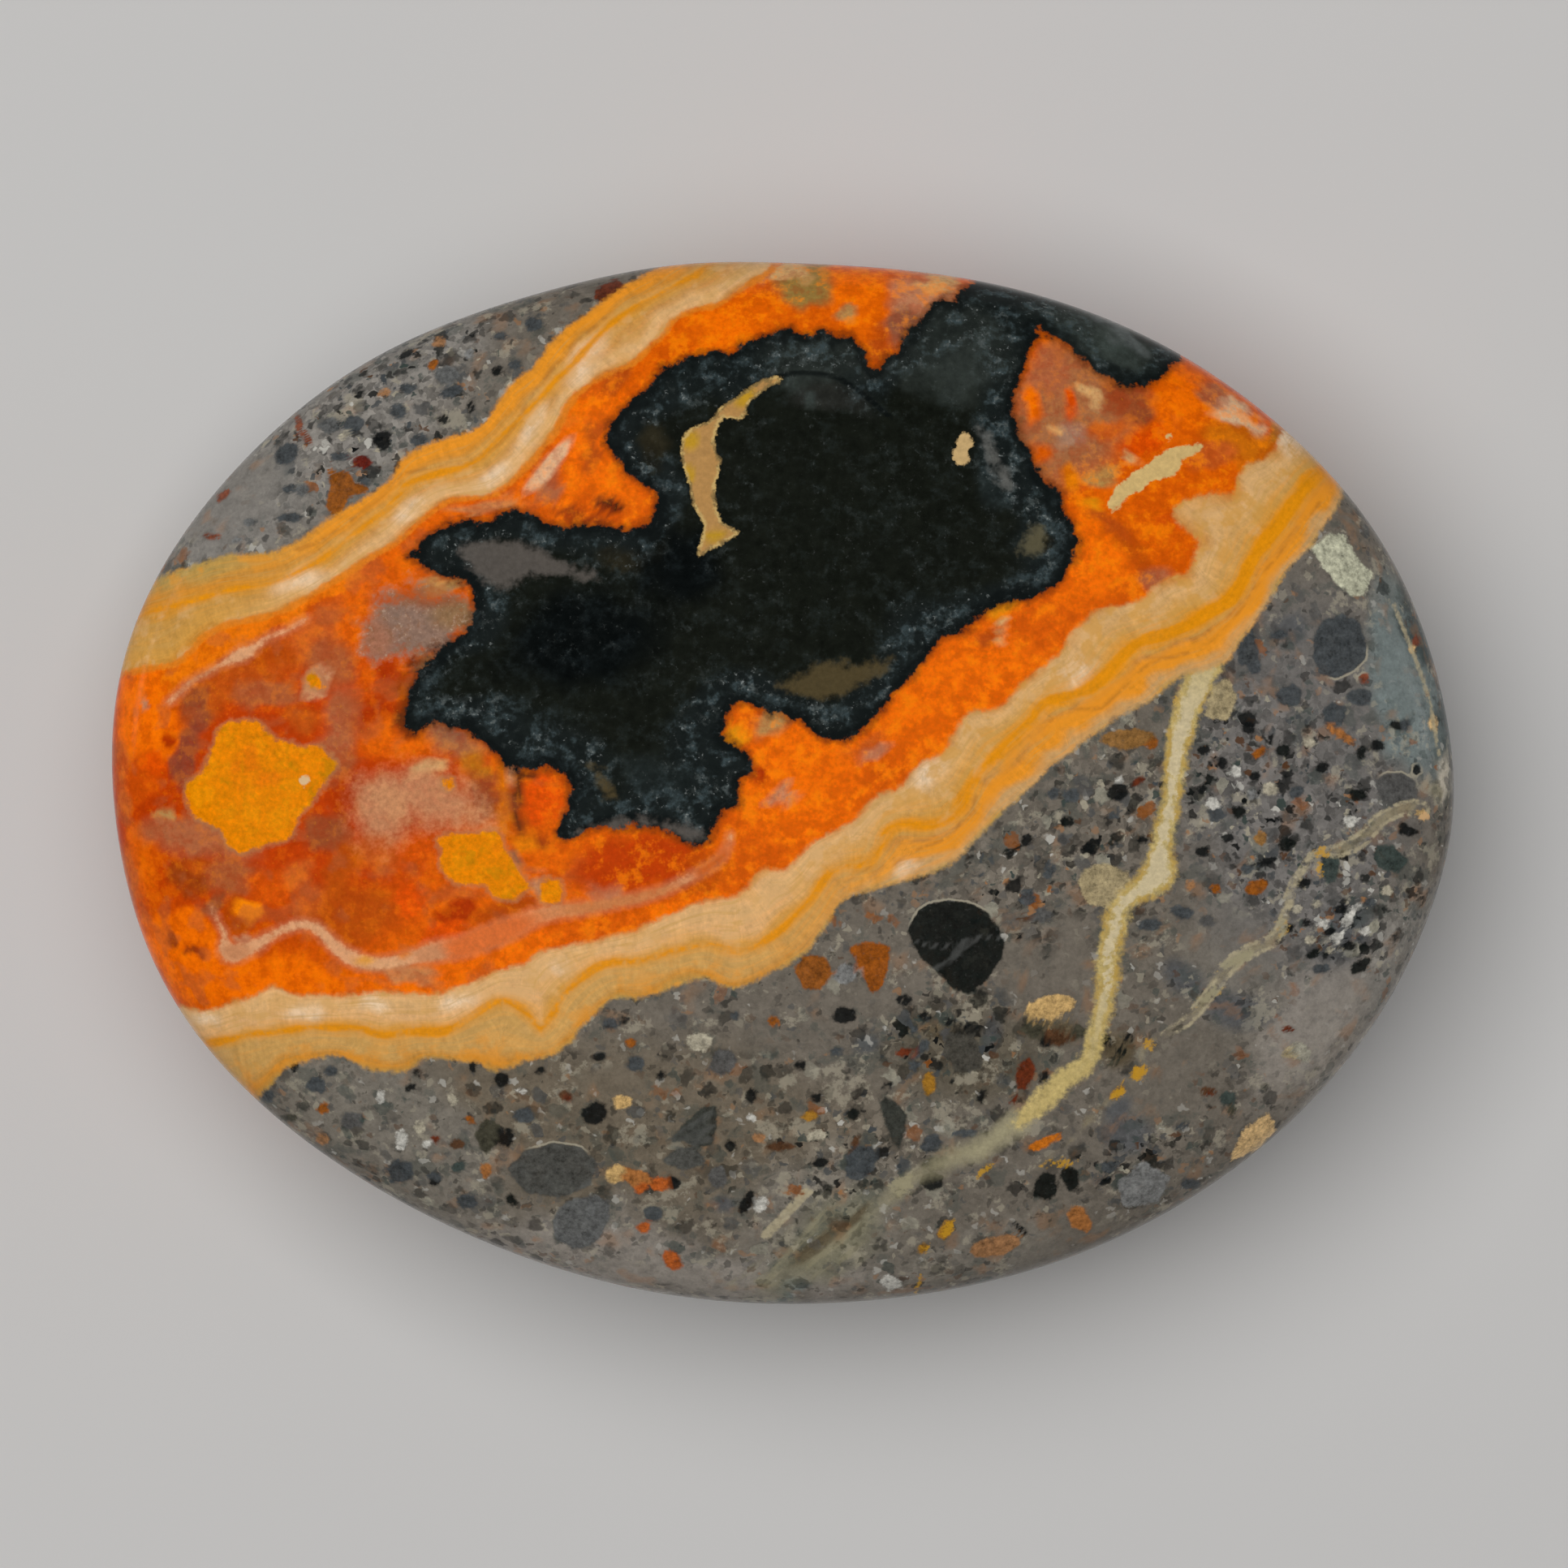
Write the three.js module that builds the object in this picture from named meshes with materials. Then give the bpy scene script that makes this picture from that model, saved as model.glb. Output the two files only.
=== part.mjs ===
import * as THREE from "three";

// A palm stone of bumblebee jasper: one piece of banded volcanic stone, sawn, ground round and polished.
// Millimetres, +Z up. The origin is on the surface that the stone rests on, under the middle of its box.
// The long side runs along X, and the face with the orange vein looks up.

// Points on the edge of the stone, seen from above at its widest level, anticlockwise from the right end
const EDGE_POINTS = [
  [32.95, 1.0],
  [30.8, 9.3],
  [26.0, 16.15],
  [18.6, 21.6],
  [9.6, 24.7],
  [1.0, 25.55],
  [-5.4, 25.45],
  [-12.4, 23.95],
  [-20.4, 20.7],
  [-27.2, 15.05],
  [-31.6, 8.3],
  [-32.95, 0.6],
  [-31.0, -8.6],
  [-25.4, -16.0],
  [-17.0, -21.5],
  [-6.6, -25.0],
  [4.4, -25.45],
  [14.6, -23.15],
  [23.0, -18.35],
  [28.9, -12.1],
  [32.1, -5.6],
];

// Heights: the whole stone, and the level at which it is widest
const THICKNESS = 21.0;
const WIDEST_LEVEL = 12.5;

// The face is a low crown with round shoulders: a fullness of 2 is an ellipse, and more is squarer
const FACE_CROWN = 2.0;
const FACE_FULLNESS = 4.0;
// The face lies a little towards the left end, so the stone falls away over a wider shoulder at the right
const FACE_SHIFT = [-1.0, 0.3];

// The back is rounder, and is ground flat in the middle over this share of the stone's width
const BACK_FULLNESS = 2.0;
const FOOT_SHARE = 0.34;

// Facets: steps between two edge points, rings over the face, and rings from the foot up to the edge
const STEPS_PER_POINT = 5;
const FACE_RINGS = 15;
const BACK_RINGS = 12;

// The orange-brown that the stone shows from a few steps away, and its polish
const STONE_COLOUR = 0xb98245;
const STONE_ROUGHNESS = 0.2;

// Control points of the smooth closed curve that passes through the given points
function controlPoints(points) {
  const passes = 40;
  const count = points.length;
  let controls = points.map(([x, y]) => new THREE.Vector2(x, y));
  for (let pass = 0; pass < passes; pass++) {
    controls = controls.map((control, i) => {
      const before = controls[(i + count - 1) % count];
      const after = controls[(i + 1) % count];
      const onCurve = before.clone().addScaledVector(control, 4).add(after).divideScalar(6);
      return new THREE.Vector2(...points[i]).sub(onCurve).add(control);
    });
  }
  return controls;
}

// The edge of the stone as a closed cubic B-spline through the edge points
class StoneEdge extends THREE.Curve {
  constructor(points) {
    super();
    this.controls = controlPoints(points);
  }

  getPoint(share, target = new THREE.Vector2()) {
    const count = this.controls.length;
    const place = share * count;
    const start = Math.floor(place);
    const t = place - start;
    const weights = [
      (1 - t) ** 3,
      3 * t ** 3 - 6 * t ** 2 + 4,
      -3 * t ** 3 + 3 * t ** 2 + 3 * t + 1,
      t ** 3,
    ];
    target.set(0, 0);
    weights.forEach((weight, i) => {
      target.addScaledVector(this.controls[(start + i + count - 1) % count], weight / 6);
    });
    return target;
  }
}

// Rings from the rim of the foot, on the ground, up to and with the edge: the share of the edge's width
// that each has, its height, and how far the face's shift has taken effect
function backRings() {
  const rings = [];
  for (let i = 0; i <= BACK_RINGS; i++) {
    const turn = ((Math.PI / 2) * i) / BACK_RINGS;
    rings.push({
      width: FOOT_SHARE + (1 - FOOT_SHARE) * Math.sin(turn) ** (2 / BACK_FULLNESS),
      height: WIDEST_LEVEL * (1 - Math.cos(turn) ** (2 / BACK_FULLNESS)),
      shift: 0,
    });
  }
  return rings;
}

// Rings between the edge and the top of the face
function faceRings() {
  const shoulderRise = THICKNESS - WIDEST_LEVEL - FACE_CROWN;
  const rings = [];
  for (let i = 1; i < FACE_RINGS; i++) {
    const turn = ((Math.PI / 2) * i) / FACE_RINGS;
    const width = Math.cos(turn) ** (2 / FACE_FULLNESS);
    const rise = Math.sin(turn) ** (2 / FACE_FULLNESS);
    rings.push({
      width,
      height: WIDEST_LEVEL + shoulderRise * rise + FACE_CROWN * (1 - width ** 2),
      shift: rise ** 2,
    });
  }
  return rings;
}

// One closed skin: a fan over the foot, bands between the rings, and a fan at the top of the face
function stoneGeometry() {
  const edge = new StoneEdge(EDGE_POINTS);
  const segments = EDGE_POINTS.length * STEPS_PER_POINT;
  const [shiftX, shiftY] = FACE_SHIFT;
  const rings = [...backRings(), ...faceRings()];
  const positions = [0, 0, 0];
  for (const { width, height, shift } of rings) {
    for (let j = 0; j < segments; j++) {
      const point = edge.getPoint(j / segments);
      positions.push(point.x * width + shiftX * shift, point.y * width + shiftY * shift, height);
    }
  }
  positions.push(shiftX, shiftY, THICKNESS);

  const faces = [];
  const top = positions.length / 3 - 1;
  const lastRing = 1 + (rings.length - 1) * segments;
  for (let j = 0; j < segments; j++) {
    const next = (j + 1) % segments;
    faces.push(0, 1 + next, 1 + j);
    faces.push(top, lastRing + j, lastRing + next);
    for (let low = 1; low < lastRing; low += segments) {
      const high = low + segments;
      faces.push(low + j, low + next, high + next);
      faces.push(low + j, high + next, high + j);
    }
  }

  const geometry = new THREE.BufferGeometry();
  geometry.setAttribute("position", new THREE.Float32BufferAttribute(positions, 3));
  geometry.setIndex(faces);
  geometry.computeVertexNormals();
  return geometry;
}

function polishedJasper() {
  return new THREE.MeshStandardMaterial({
    color: STONE_COLOUR,
    roughness: STONE_ROUGHNESS,
    metalness: 0,
  });
}

const stone = new THREE.Mesh(stoneGeometry(), polishedJasper());
stone.name = "palm_stone";

const part = new THREE.Group();
part.add(stone);

export default part;
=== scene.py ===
import math
import random

import bpy
import numpy as np
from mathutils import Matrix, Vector, noise


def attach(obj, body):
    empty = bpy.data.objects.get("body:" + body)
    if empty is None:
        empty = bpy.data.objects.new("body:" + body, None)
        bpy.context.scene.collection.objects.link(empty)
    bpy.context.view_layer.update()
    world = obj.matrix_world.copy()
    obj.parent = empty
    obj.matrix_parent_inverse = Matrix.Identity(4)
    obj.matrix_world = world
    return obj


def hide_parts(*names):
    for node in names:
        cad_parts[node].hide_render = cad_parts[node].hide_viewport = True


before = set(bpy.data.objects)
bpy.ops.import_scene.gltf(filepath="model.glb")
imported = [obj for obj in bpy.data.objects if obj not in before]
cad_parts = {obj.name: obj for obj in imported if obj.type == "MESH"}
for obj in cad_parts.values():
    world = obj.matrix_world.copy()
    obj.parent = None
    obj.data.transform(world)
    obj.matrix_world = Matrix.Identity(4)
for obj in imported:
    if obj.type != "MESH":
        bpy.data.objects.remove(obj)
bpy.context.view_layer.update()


# The ground stone. The real piece is one lump of banded volcanic rock, sawn to an oval slab and ground
# on a wheel: a low crown with tight shoulders on the face, and a rounder back with a small flat
# ground in its middle, on which it lies. The sizes are millimetres.
RIM_LEVEL = 12.5
RIM_SLACK = 0.01
SHOULDER_RISE = 6.5
FACE_CROWN = 2.0
FACE_FULLNESS = 4.0
FACE_SHIFT = np.array([-1.0, 0.3])
FOOT_SHARE = 0.34
INSIDE_BOX = 0.9992
FACE_STEPS = 256
SIDE_RINGS = (14, 12, 8)
FOOT_RINGS = 8
MM = 0.001

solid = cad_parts["palm_stone"]
corners = np.array([corner.co for corner in solid.data.vertices]) / MM
rim = np.unique(corners[np.abs(corners[:, 2] - RIM_LEVEL) < RIM_SLACK][:, :2].round(3), axis=0)
rim = rim[np.argsort(np.arctan2(rim[:, 1], rim[:, 0]) % math.tau)] * INSIDE_BOX


def through(points, shares):
    """Places at these shares of the way around a smooth closed line through the points"""
    points = np.asarray(points, float)
    place = np.asarray(shares) * len(points)
    start = np.floor(place).astype(int)
    t = (place - start)[:, None]
    a, b, c, d = (points[(start + k) % len(points)] for k in (-1, 0, 1, 2))
    return b + t / 2 * (c - a + t * (2 * a - 5 * b + 4 * c - d + t * (3 * (b - c) + d - a)))


# The face is a square net pressed into a disc, so its meshes are all about as large
steps = np.arange(FACE_STEPS + 1) / FACE_STEPS * 2 - 1
across, up = (net.ravel() for net in np.meshgrid(steps, steps))
reach = np.maximum(np.abs(across), np.abs(up))
sideways = np.abs(across) >= np.abs(up)
ahead = np.where(sideways, across, up)
ahead[reach == 0] = 1
lean = np.where(sideways, up, across) / ahead * 0.125
turn_share = np.where(sideways, lean, 0.25 - lean) + np.where(ahead < 0, 0.5, 0.0)
width = np.sin(math.pi / 2 * reach)
rise = (1 - width**FACE_FULLNESS) ** (1 / FACE_FULLNESS)
face_places = through(rim, turn_share % 1) * width[:, None] + FACE_SHIFT * (rise**2)[:, None]
face_heights = RIM_LEVEL + SHOULDER_RISE * rise + FACE_CROWN * (1 - width**2)

places = [np.column_stack([face_places, face_heights])]
polygons = []
side = FACE_STEPS + 1
for row in range(FACE_STEPS):
    for column in range(FACE_STEPS):
        low = row * side + column
        polygons.append((low, low + 1, low + 1 + side, low + side))
face_polygons = len(polygons)
right = [row * side + FACE_STEPS for row in range(FACE_STEPS)]
top = [FACE_STEPS * side + column for column in range(FACE_STEPS, 0, -1)]
left = [row * side for row in range(FACE_STEPS, 0, -1)]
bottom = list(range(FACE_STEPS))
half = FACE_STEPS // 2
ring = right[half:] + top + left + bottom + right[:half]

# Rings go from the rim down to the foot, with half as many steps round in each next group
turns = np.linspace(math.pi / 2, 0, sum(SIDE_RINGS) + 1)[1:]
widths = [FOOT_SHARE + (1 - FOOT_SHARE) * math.sin(turn) for turn in turns]
heights = [RIM_LEVEL * (1 - math.cos(turn)) for turn in turns]
widths += [FOOT_SHARE * (1 - k / FOOT_RINGS) for k in range(1, FOOT_RINGS)]
heights += [0.0] * (FOOT_RINGS - 1)
thinner = {SIDE_RINGS[0], SIDE_RINGS[0] + SIDE_RINGS[1], sum(SIDE_RINGS)}
count = len(places[0])
back_halves = []
for number, (ring_width, height) in enumerate(zip(widths, heights)):
    steps_round = len(ring) // 2 if number in thinner else len(ring)
    shares = np.arange(steps_round) / steps_round
    places.append(np.column_stack([through(rim, shares) * ring_width, np.full(steps_round, height)]))
    lower = list(range(count, count + steps_round))
    count += steps_round
    per_step = len(ring) // steps_round
    for k in range(steps_round):
        upper_edge = [ring[(k * per_step + j) % len(ring)] for j in range(per_step + 1)]
        polygons.append((lower[k], lower[(k + 1) % steps_round], *reversed(upper_edge)))
        back_halves.append(k < steps_round / 2)
    ring = lower
places.append(np.zeros((1, 3)))
for k in range(len(ring)):
    polygons.append((count, ring[(k + 1) % len(ring)], ring[k]))
    back_halves.append(k < len(ring) / 2)
places = np.vstack(places)

stone_mesh = bpy.data.meshes.new("palm_stone_polished")
stone_mesh.from_pydata((places * MM).tolist(), [], polygons)
stone_mesh.shade_smooth()
stone = bpy.data.objects.new("palm_stone_polished", stone_mesh)
bpy.context.scene.collection.objects.link(stone)
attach(stone, "root")
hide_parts("palm_stone")

# The map for the finish: most of it holds the face, laid out flat, and the strip below it the two
# halves of the back, side by side
MAP_WIDTH = 86.0
FACE_MIDDLE = (43.0, 54.0)
HALF_MIDDLES = (21.5, 64.5)
STRIP_START = 1.0
BACK_SCALE = 0.5
BACK_SPREAD = 0.25
MEAN_RADIUS = 29.0
PROFILE_STEPS = 2000

level = np.linspace(0, 1, PROFILE_STEPS + 1)[:-1]
fall = SHOULDER_RISE * level**3 * (1 - level**4) ** -0.75 + 2 * FACE_CROWN * level
arc = np.concatenate([[0], np.cumsum(np.hypot(1, fall / MEAN_RADIUS) / len(level))])
flat_share = np.interp(width, np.append(level, 1), arc)
corner_vertices = np.zeros(len(stone_mesh.loops), int)
stone_mesh.loops.foreach_get("vertex_index", corner_vertices)
corner_polygons = np.repeat(np.arange(len(polygons)), [len(polygon) for polygon in polygons])
on_face = corner_polygons < face_polygons
on_first_half = np.zeros(len(polygons), bool)
on_first_half[face_polygons:] = back_halves
map_corners = np.zeros((len(corner_vertices), 2))
laid_flat = through(rim, turn_share % 1) * flat_share[:, None]
map_corners[on_face] = laid_flat[corner_vertices[on_face]] + FACE_MIDDLE
spread = 1 + BACK_SPREAD * (np.clip(places[:, 2], 0, RIM_LEVEL) / RIM_LEVEL) ** 2
back_places = places[:, :2] * spread[:, None] * BACK_SCALE
for is_first, middle, facing in ((True, HALF_MIDDLES[0], (-1, 1)), (False, HALF_MIDDLES[1], (1, -1))):
    chosen = ~on_face & (on_first_half[corner_polygons] == is_first)
    turned = back_places[corner_vertices[chosen]] * facing
    map_corners[chosen] = turned + (middle, STRIP_START - turned[:, 1].min())
uv = stone_mesh.uv_layers.new(name="OFBake")
uv.data.foreach_set("uv", (map_corners / MAP_WIDTH).astype(np.float32).ravel())


# The lie of the markings. They are in the rock itself, so what the grinding leaves is a section through
# them. On the face they are drawn as they look from straight above, and down the side and over the
# back they are followed to where the slanting vein comes out.
EYE_HEIGHT = 429.3
VEIN_SLANT = np.array([0.12, 0.42])
WANDER = 3.2
WANDER_SIZE = 11.0
NOISE_SEED = 7
# The waviness of every drawn line: the size, the start and the strength of each kind of wave
CRINKLES = ((1.6, 0.0, 0.35), (4.5, 7.0, 0.5), (0.7, 3.0, 0.14))

below = np.clip(RIM_LEVEL - places[:, 2], 0, None)
above = np.clip(places[:, 2] - RIM_LEVEL, 0, None)
seen_scale = EYE_HEIGHT / (EYE_HEIGHT - above)
drawn = places[:, :2] * seen_scale[:, None]

# Without a seed this noise starts from the clock, and every run is another stone
noise.seed_set(NOISE_SEED)


def wandering(size, shift=0.0):
    """A smooth random direction at every place, which turns about once in this many millimetres"""
    start = Vector((shift, shift, shift))
    return np.array([noise.noise_vector(Vector(place) / size + start) for place in places])


wander = (below / RIM_LEVEL)[:, None] * WANDER * wandering(WANDER_SIZE)[:, :2]
drawn += below[:, None] * VEIN_SLANT + wander
crinkle = sum(wandering(size, start)[:, :2] * strength for size, start, strength in CRINKLES)


def keep(name, values):
    """Stores a number or a colour for every place on the stone, for its finish to read"""
    values = np.asarray(values, np.float32)
    kind, field = ("FLOAT", "value") if values.ndim == 1 else ("FLOAT_VECTOR", "vector")
    stone_mesh.attributes.new(name, kind, "POINT").data.foreach_set(field, values.ravel())


class Wire:
    """One output of a shader node. Arithmetic on wires and numbers adds Math nodes."""

    tree = None

    def __init__(self, socket):
        self.socket = socket

    @classmethod
    def node(cls, kind, settings, sockets, output=0):
        """Makes a node from its type, its settings and the values or wires of its sockets"""
        made = cls.tree.nodes.new(kind)
        for name, value in settings.items():
            if name == "stops":
                cls.set_stops(made.color_ramp, value)
            else:
                setattr(made, name, value)
        for name, value in sockets.items():
            if isinstance(value, cls):
                cls.tree.links.new(value.socket, made.inputs[name])
            else:
                held = made.inputs[name]
                held.default_value = value[:3] if held.type == "VECTOR" else value
        return cls(made.outputs[output]) if len(made.outputs) else None

    @staticmethod
    def set_stops(ramp, stops):
        """Gives a ramp plain steps of colour, each a place where it begins and the colour"""
        ramp.interpolation = "CONSTANT"
        for number, (begins, colour) in enumerate(stops):
            stop = ramp.elements[number] if number < 2 else ramp.elements.new(begins)
            stop.position = begins
            stop.color = colour

    def also(self, output):
        """Another output of the same node"""
        return Wire(self.socket.node.outputs[output])

    def maths(self, operation, *others):
        """One Math node on this wire and other wires or numbers"""
        values = dict(enumerate((self, *others)))
        return Wire.node("ShaderNodeMath", {"operation": operation}, values)

    def __add__(self, other):
        return self.maths("ADD", other)

    def __sub__(self, other):
        return self.maths("SUBTRACT", other)

    def __mul__(self, other):
        return self.maths("MULTIPLY", other)

    def __truediv__(self, other):
        return self.maths("DIVIDE", other)

    def __rsub__(self, other):
        return Wire.node("ShaderNodeMath", {"operation": "SUBTRACT"}, {0: other, 1: self})

    def __rtruediv__(self, other):
        return Wire.node("ShaderNodeMath", {"operation": "DIVIDE"}, {0: other, 1: self})

    __radd__ = __add__
    __rmul__ = __mul__

    def largest(self, other):
        return self.maths("MAXIMUM", other)

    def over(self, low, high):
        """0 where the value is under low, 1 where it is over high, and a smooth way between"""
        ends = {"Value": self, "From Min": low, "From Max": high}
        return Wire.node("ShaderNodeMapRange", {"interpolation_type": "SMOOTHSTEP"}, ends)


def kept(name, output="Fac"):
    """What was kept for every place under this name"""
    return Wire.node("ShaderNodeAttribute", {"attribute_name": name}, {}, output)


finish = bpy.data.materials.new("polished_jasper")
finish.use_nodes = True
finish.node_tree.nodes.clear()
Wire.tree = finish.node_tree


def vector_maths(operation, *vectors, output=0):
    """One Vector Math node on places, directions or colours"""
    return Wire.node("ShaderNodeVectorMath", {"operation": operation}, dict(enumerate(vectors)), output)


def scaled(vector, factor):
    """A place or a colour with each of its numbers multiplied by the factor"""
    return Wire.node("ShaderNodeVectorMath", {"operation": "SCALE"}, {0: vector, "Scale": factor})


spot = scaled(Wire.node("ShaderNodeTexCoord", {}, {}, "Object"), 1 / MM)


def cloudy(size, detail=2.0, roughness=0.5, where=spot, output="Fac"):
    """Noise that changes about once in this many millimetres, from 0 to 1"""
    sockets = {"Vector": where, "Scale": 1 / size, "Detail": detail, "Roughness": roughness}
    return Wire.node("ShaderNodeTexNoise", {}, sockets, output)


def moved(place, by):
    """A place shifted by so many millimetres each way"""
    return vector_maths("ADD", place, by)


def drifting(size, shift, octaves=3):
    """Three random fields that change slowly over the stone, each 0 on average and spread by 1"""
    field = sum(wandering(size / 2**k, shift + k) / 1.5**k for k in range(octaves))
    return (field - field.mean(axis=0)) / field.std(axis=0)


keep("drift", drifting(1.5, 40.0))
drift = Wire.node("ShaderNodeSeparateXYZ", {}, {0: kept("drift", "Vector")})
drift_two = drift.also("Y")
drift_three = drift.also("Z")

# Kinds of fine detail that every part of the stone uses: sand, powder, tufts of crystals, flames, specks
# and clumps, and the fraying of edges
grit = cloudy(0.16, 2.0, 0.7)
powder = cloudy(0.26, 2.0, 0.68, moved(spot, (6.0, 2.0, 3.0)))
tufts = cloudy(0.42, 3.0, 0.7, moved(spot, (5.0, 2.0, 9.0)))
flames = cloudy(0.8, 3.0, 0.68, moved(spot, (5.0, 5.0, 5.0)))
specks = cloudy(0.2, 2.0, 0.6, moved(spot, (7.0, 7.0, 2.0)))
clumps = cloudy(1.1, 3.0, 0.55, moved(spot, (3.0, 8.0, 1.0)))
fray = (cloudy(0.5, 3.0, 0.65, moved(spot, (4.0, 1.0, 7.0))) - 0.5) * 0.9


# The grey rock round the vein. It is a hardened volcanic mud full of broken crystals and bits of older
# lava: dark, slate, rusty and pale ones, from sand up to several millimetres. The colours are as the
# polished rock looks, except for a few that are painted light and shade on the rounded right edge: a
# painted sheen, a painted shaded band and a thin painted highlight.
ROCK = {
    "mud": (120, 112, 101),
    "warm mud": (120, 109, 93),
    "pale mud": (132, 125, 114),
    "light mud": (156, 148, 138),
    "cool mud": (120, 116, 112),
    "rim mud": (141, 136, 128),
    "rim blue": (128, 138, 136),
    "dark rim": (72, 82, 81),
    "rim rose": (206, 196, 178),
    "rim olive": (150, 142, 120),
    "light rock": (140, 135, 128),
    "brown rock": (104, 96, 82),
    "ash": (98, 98, 98),
    "streaky": (132, 128, 108),
    "black": (20, 22, 22),
    "green black": (19, 23, 21),
    "dark grey": (55, 57, 52),
    "slate": (68, 72, 74),
    "blue grey": (94, 95, 94),
    "grey": (84, 83, 81),
    "ashen": (121, 121, 119),
    "pale grey": (104, 105, 103),
    "olive": (64, 62, 50),
    "rust": (140, 78, 20),
    "dull rust": (162, 104, 54),
    "rusty": (156, 112, 74),
    "orange rust": (146, 76, 10),
    "red": (98, 42, 20),
    "dark red": (96, 26, 14),
    "brick": (122, 64, 42),
    "red rust": (176, 88, 34),
    "brown": (84, 56, 36),
    "orange": (190, 104, 20),
    "gold": (158, 112, 36),
    "white": (190, 187, 178),
    "pale": (168, 160, 140),
    "cream": (200, 164, 106),
    "rim cream": (216, 180, 126),
    "tan": (140, 100, 52),
    "teal": (60, 70, 66),
    "tuff": (150, 146, 130),
    "tan tuff": (164, 148, 112),
    "bright tuff": (188, 187, 162),
    "speckled": (100, 88, 68),
    "brown grey": (72, 69, 62),
    "soft grey": (76, 76, 72),
}


def light_of(colour):
    """The light that a colour of a screen's red, green and blue, each up to 255, stands for"""
    return np.where(
        np.asarray(colour) <= 10.31,
        np.asarray(colour) / 255 / 12.92,
        ((np.asarray(colour) / 255 + 0.055) / 1.055) ** 2.4,
    )


def eased(value, low, high):
    """0 below low, 1 above high, and a smooth way between them"""
    t = np.clip((value - low) / (high - low), 0, 1)
    return t * t * (3 - 2 * t)


def plain_coat(colour):
    """The same colour at every place on the stone"""
    return np.tile(light_of(colour), (len(places), 1))


def ovals(shapes, where, start, end):
    """1 inside any of the ovals, each a place, a length, a width and a turn, and 0 well outside them all"""
    share = np.zeros(len(where))
    for x, y, length, breadth, turn in shapes:
        angle = math.radians(turn)
        offset = where - (x, y)
        along = offset[:, 0] * math.cos(angle) + offset[:, 1] * math.sin(angle)
        beside = offset[:, 1] * math.cos(angle) - offset[:, 0] * math.sin(angle)
        share = np.maximum(share, 1 - eased(np.hypot(along / length, beside / breadth) * 2, start, end))
    return share


def dab(paint, colours, dabs, where, start=0.55, end=1.35):
    """Lays oval dabs over the paint, each a place, a length, a width, a turn in degrees and a colour's name.

    Their edges fade out between these shares of their size.
    """
    for *shape, name in dabs:
        share = ovals([shape], where, start, end)
        paint += share[:, None] * (light_of(colours[name]) - paint)


rock_paint = plain_coat(ROCK["mud"])
dab(rock_paint, ROCK, [
    (-24, 17, 22, 9, 35, "light rock"),
    (-8, -17, 26, 9, -5, "warm mud"),
    (-19, -17, 14, 6, -38, "pale mud"),
    (24, -10, 9, 6, -40, "pale mud"),
    (-27, 13.6, 8, 5, 50, "light rock"),
    (-18.6, 20.6, 8, 3, 34, "light rock"),
    # Painted sheen on the lower right edge, where it rounds down
    (26.8, -11.8, 10, 5, 48, "light mud"),
    (25.5, 0, 12, 20, 0, "cool mud"),
    # Painted shade on the outermost millimetre of the right edge
    (31.6, 4.5, 2.8, 10, 10, "dark rim"),
    (30.4, 5, 2.5, 9.6, 13, "rim blue"),
    (32.2, 0.5, 1.3, 2.8, -4, "rim rose"),
    (31.7, -0.3, 1, 1.4, 0, "rim olive"),
    (-9, -23.4, 14, 4, -10, "light mud"),
    (2, -21.6, 10, 6.6, 20, "pale mud"),
    (9, -23.4, 10, 2.4, 16, "pale mud"),
    (-2, -24.4, 14, 2.4, 0, "light mud"),
    (0.2, -25.2, 1.8, 0.8, 0, "rim blue"),
    # Painted sheen on the lower right edge, where it rounds down
    (30.4, -8.4, 2, 7, -22, "rim mud"),
    (2, -22.4, 8, 3.4, 38, "streaky"),
    (9, -13.4, 9, 5, 0, "brown rock"),
], drawn + crinkle * 2)
dab(rock_paint, ROCK, [
    (13.2, -12, 3, 1.2, -12, "speckled"),
    (16.4, -13, 2.2, 1.8, -30, "speckled"),
    (22.3, -11.2, 3.6, 1.9, -20, "ash"),
    (19.6, -9.6, 2.4, 1.6, -30, "ash"),
    (10.3, -12.3, 1, 2, -10, "grey"),
    (4, -12.8, 1.6, 1, 10, "blue grey"),
    (7.7, -12.3, 1.6, 0.5, -12, "speckled"),
    (17, -17.2, 2.6, 2, 0, "ash"),
    (25, 7.6, 1.6, 1.6, 0, "ash"),
    (16.6, -15.9, 1.4, 1, 30, "ash"),
    (1.6, -22.8, 3.4, 0.8, 38, "speckled"),
    (3.4, -21.4, 2.4, 0.5, 38, "speckled"),
    (-2.8, -20.6, 1.4, 0.8, 0, "ash"),
    (27.6, -7.4, 4, 3, 40, "ash"),
], drawn + crinkle * 0.6, 0.6, 1.3)
keep("rock_paint", rock_paint)

# Smooth mud without crystals
SMOOTH_MUD = (
    (21.8, -8, 5.5, 3.5, -25), (14.2, -9.5, 2.4, 7, 0), (20, -13.4, 6.5, 2.4, 25), (26.5, -12, 7, 3.6, 45),
    (17.7, -15.4, 3.5, 2, 0), (4, -10.4, 2.4, 1.6, 0), (-2, -13, 3, 1.2, 10), (-6, -24.4, 8, 1.4, -8),
    (14, -22.6, 6, 1.6, 18), (-8.5, -14.6, 3.4, 1.8, 0), (11.8, -9.2, 2.6, 4, 0), (-26.9, 13.8, 6.4, 3, 48),
    (30.2, 6, 1.7, 6, 13), (28.2, -9.9, 2.6, 2, 50),
)
keep("mud", ovals(SMOOTH_MUD, drawn + crinkle, 0.7, 1.2))
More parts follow.
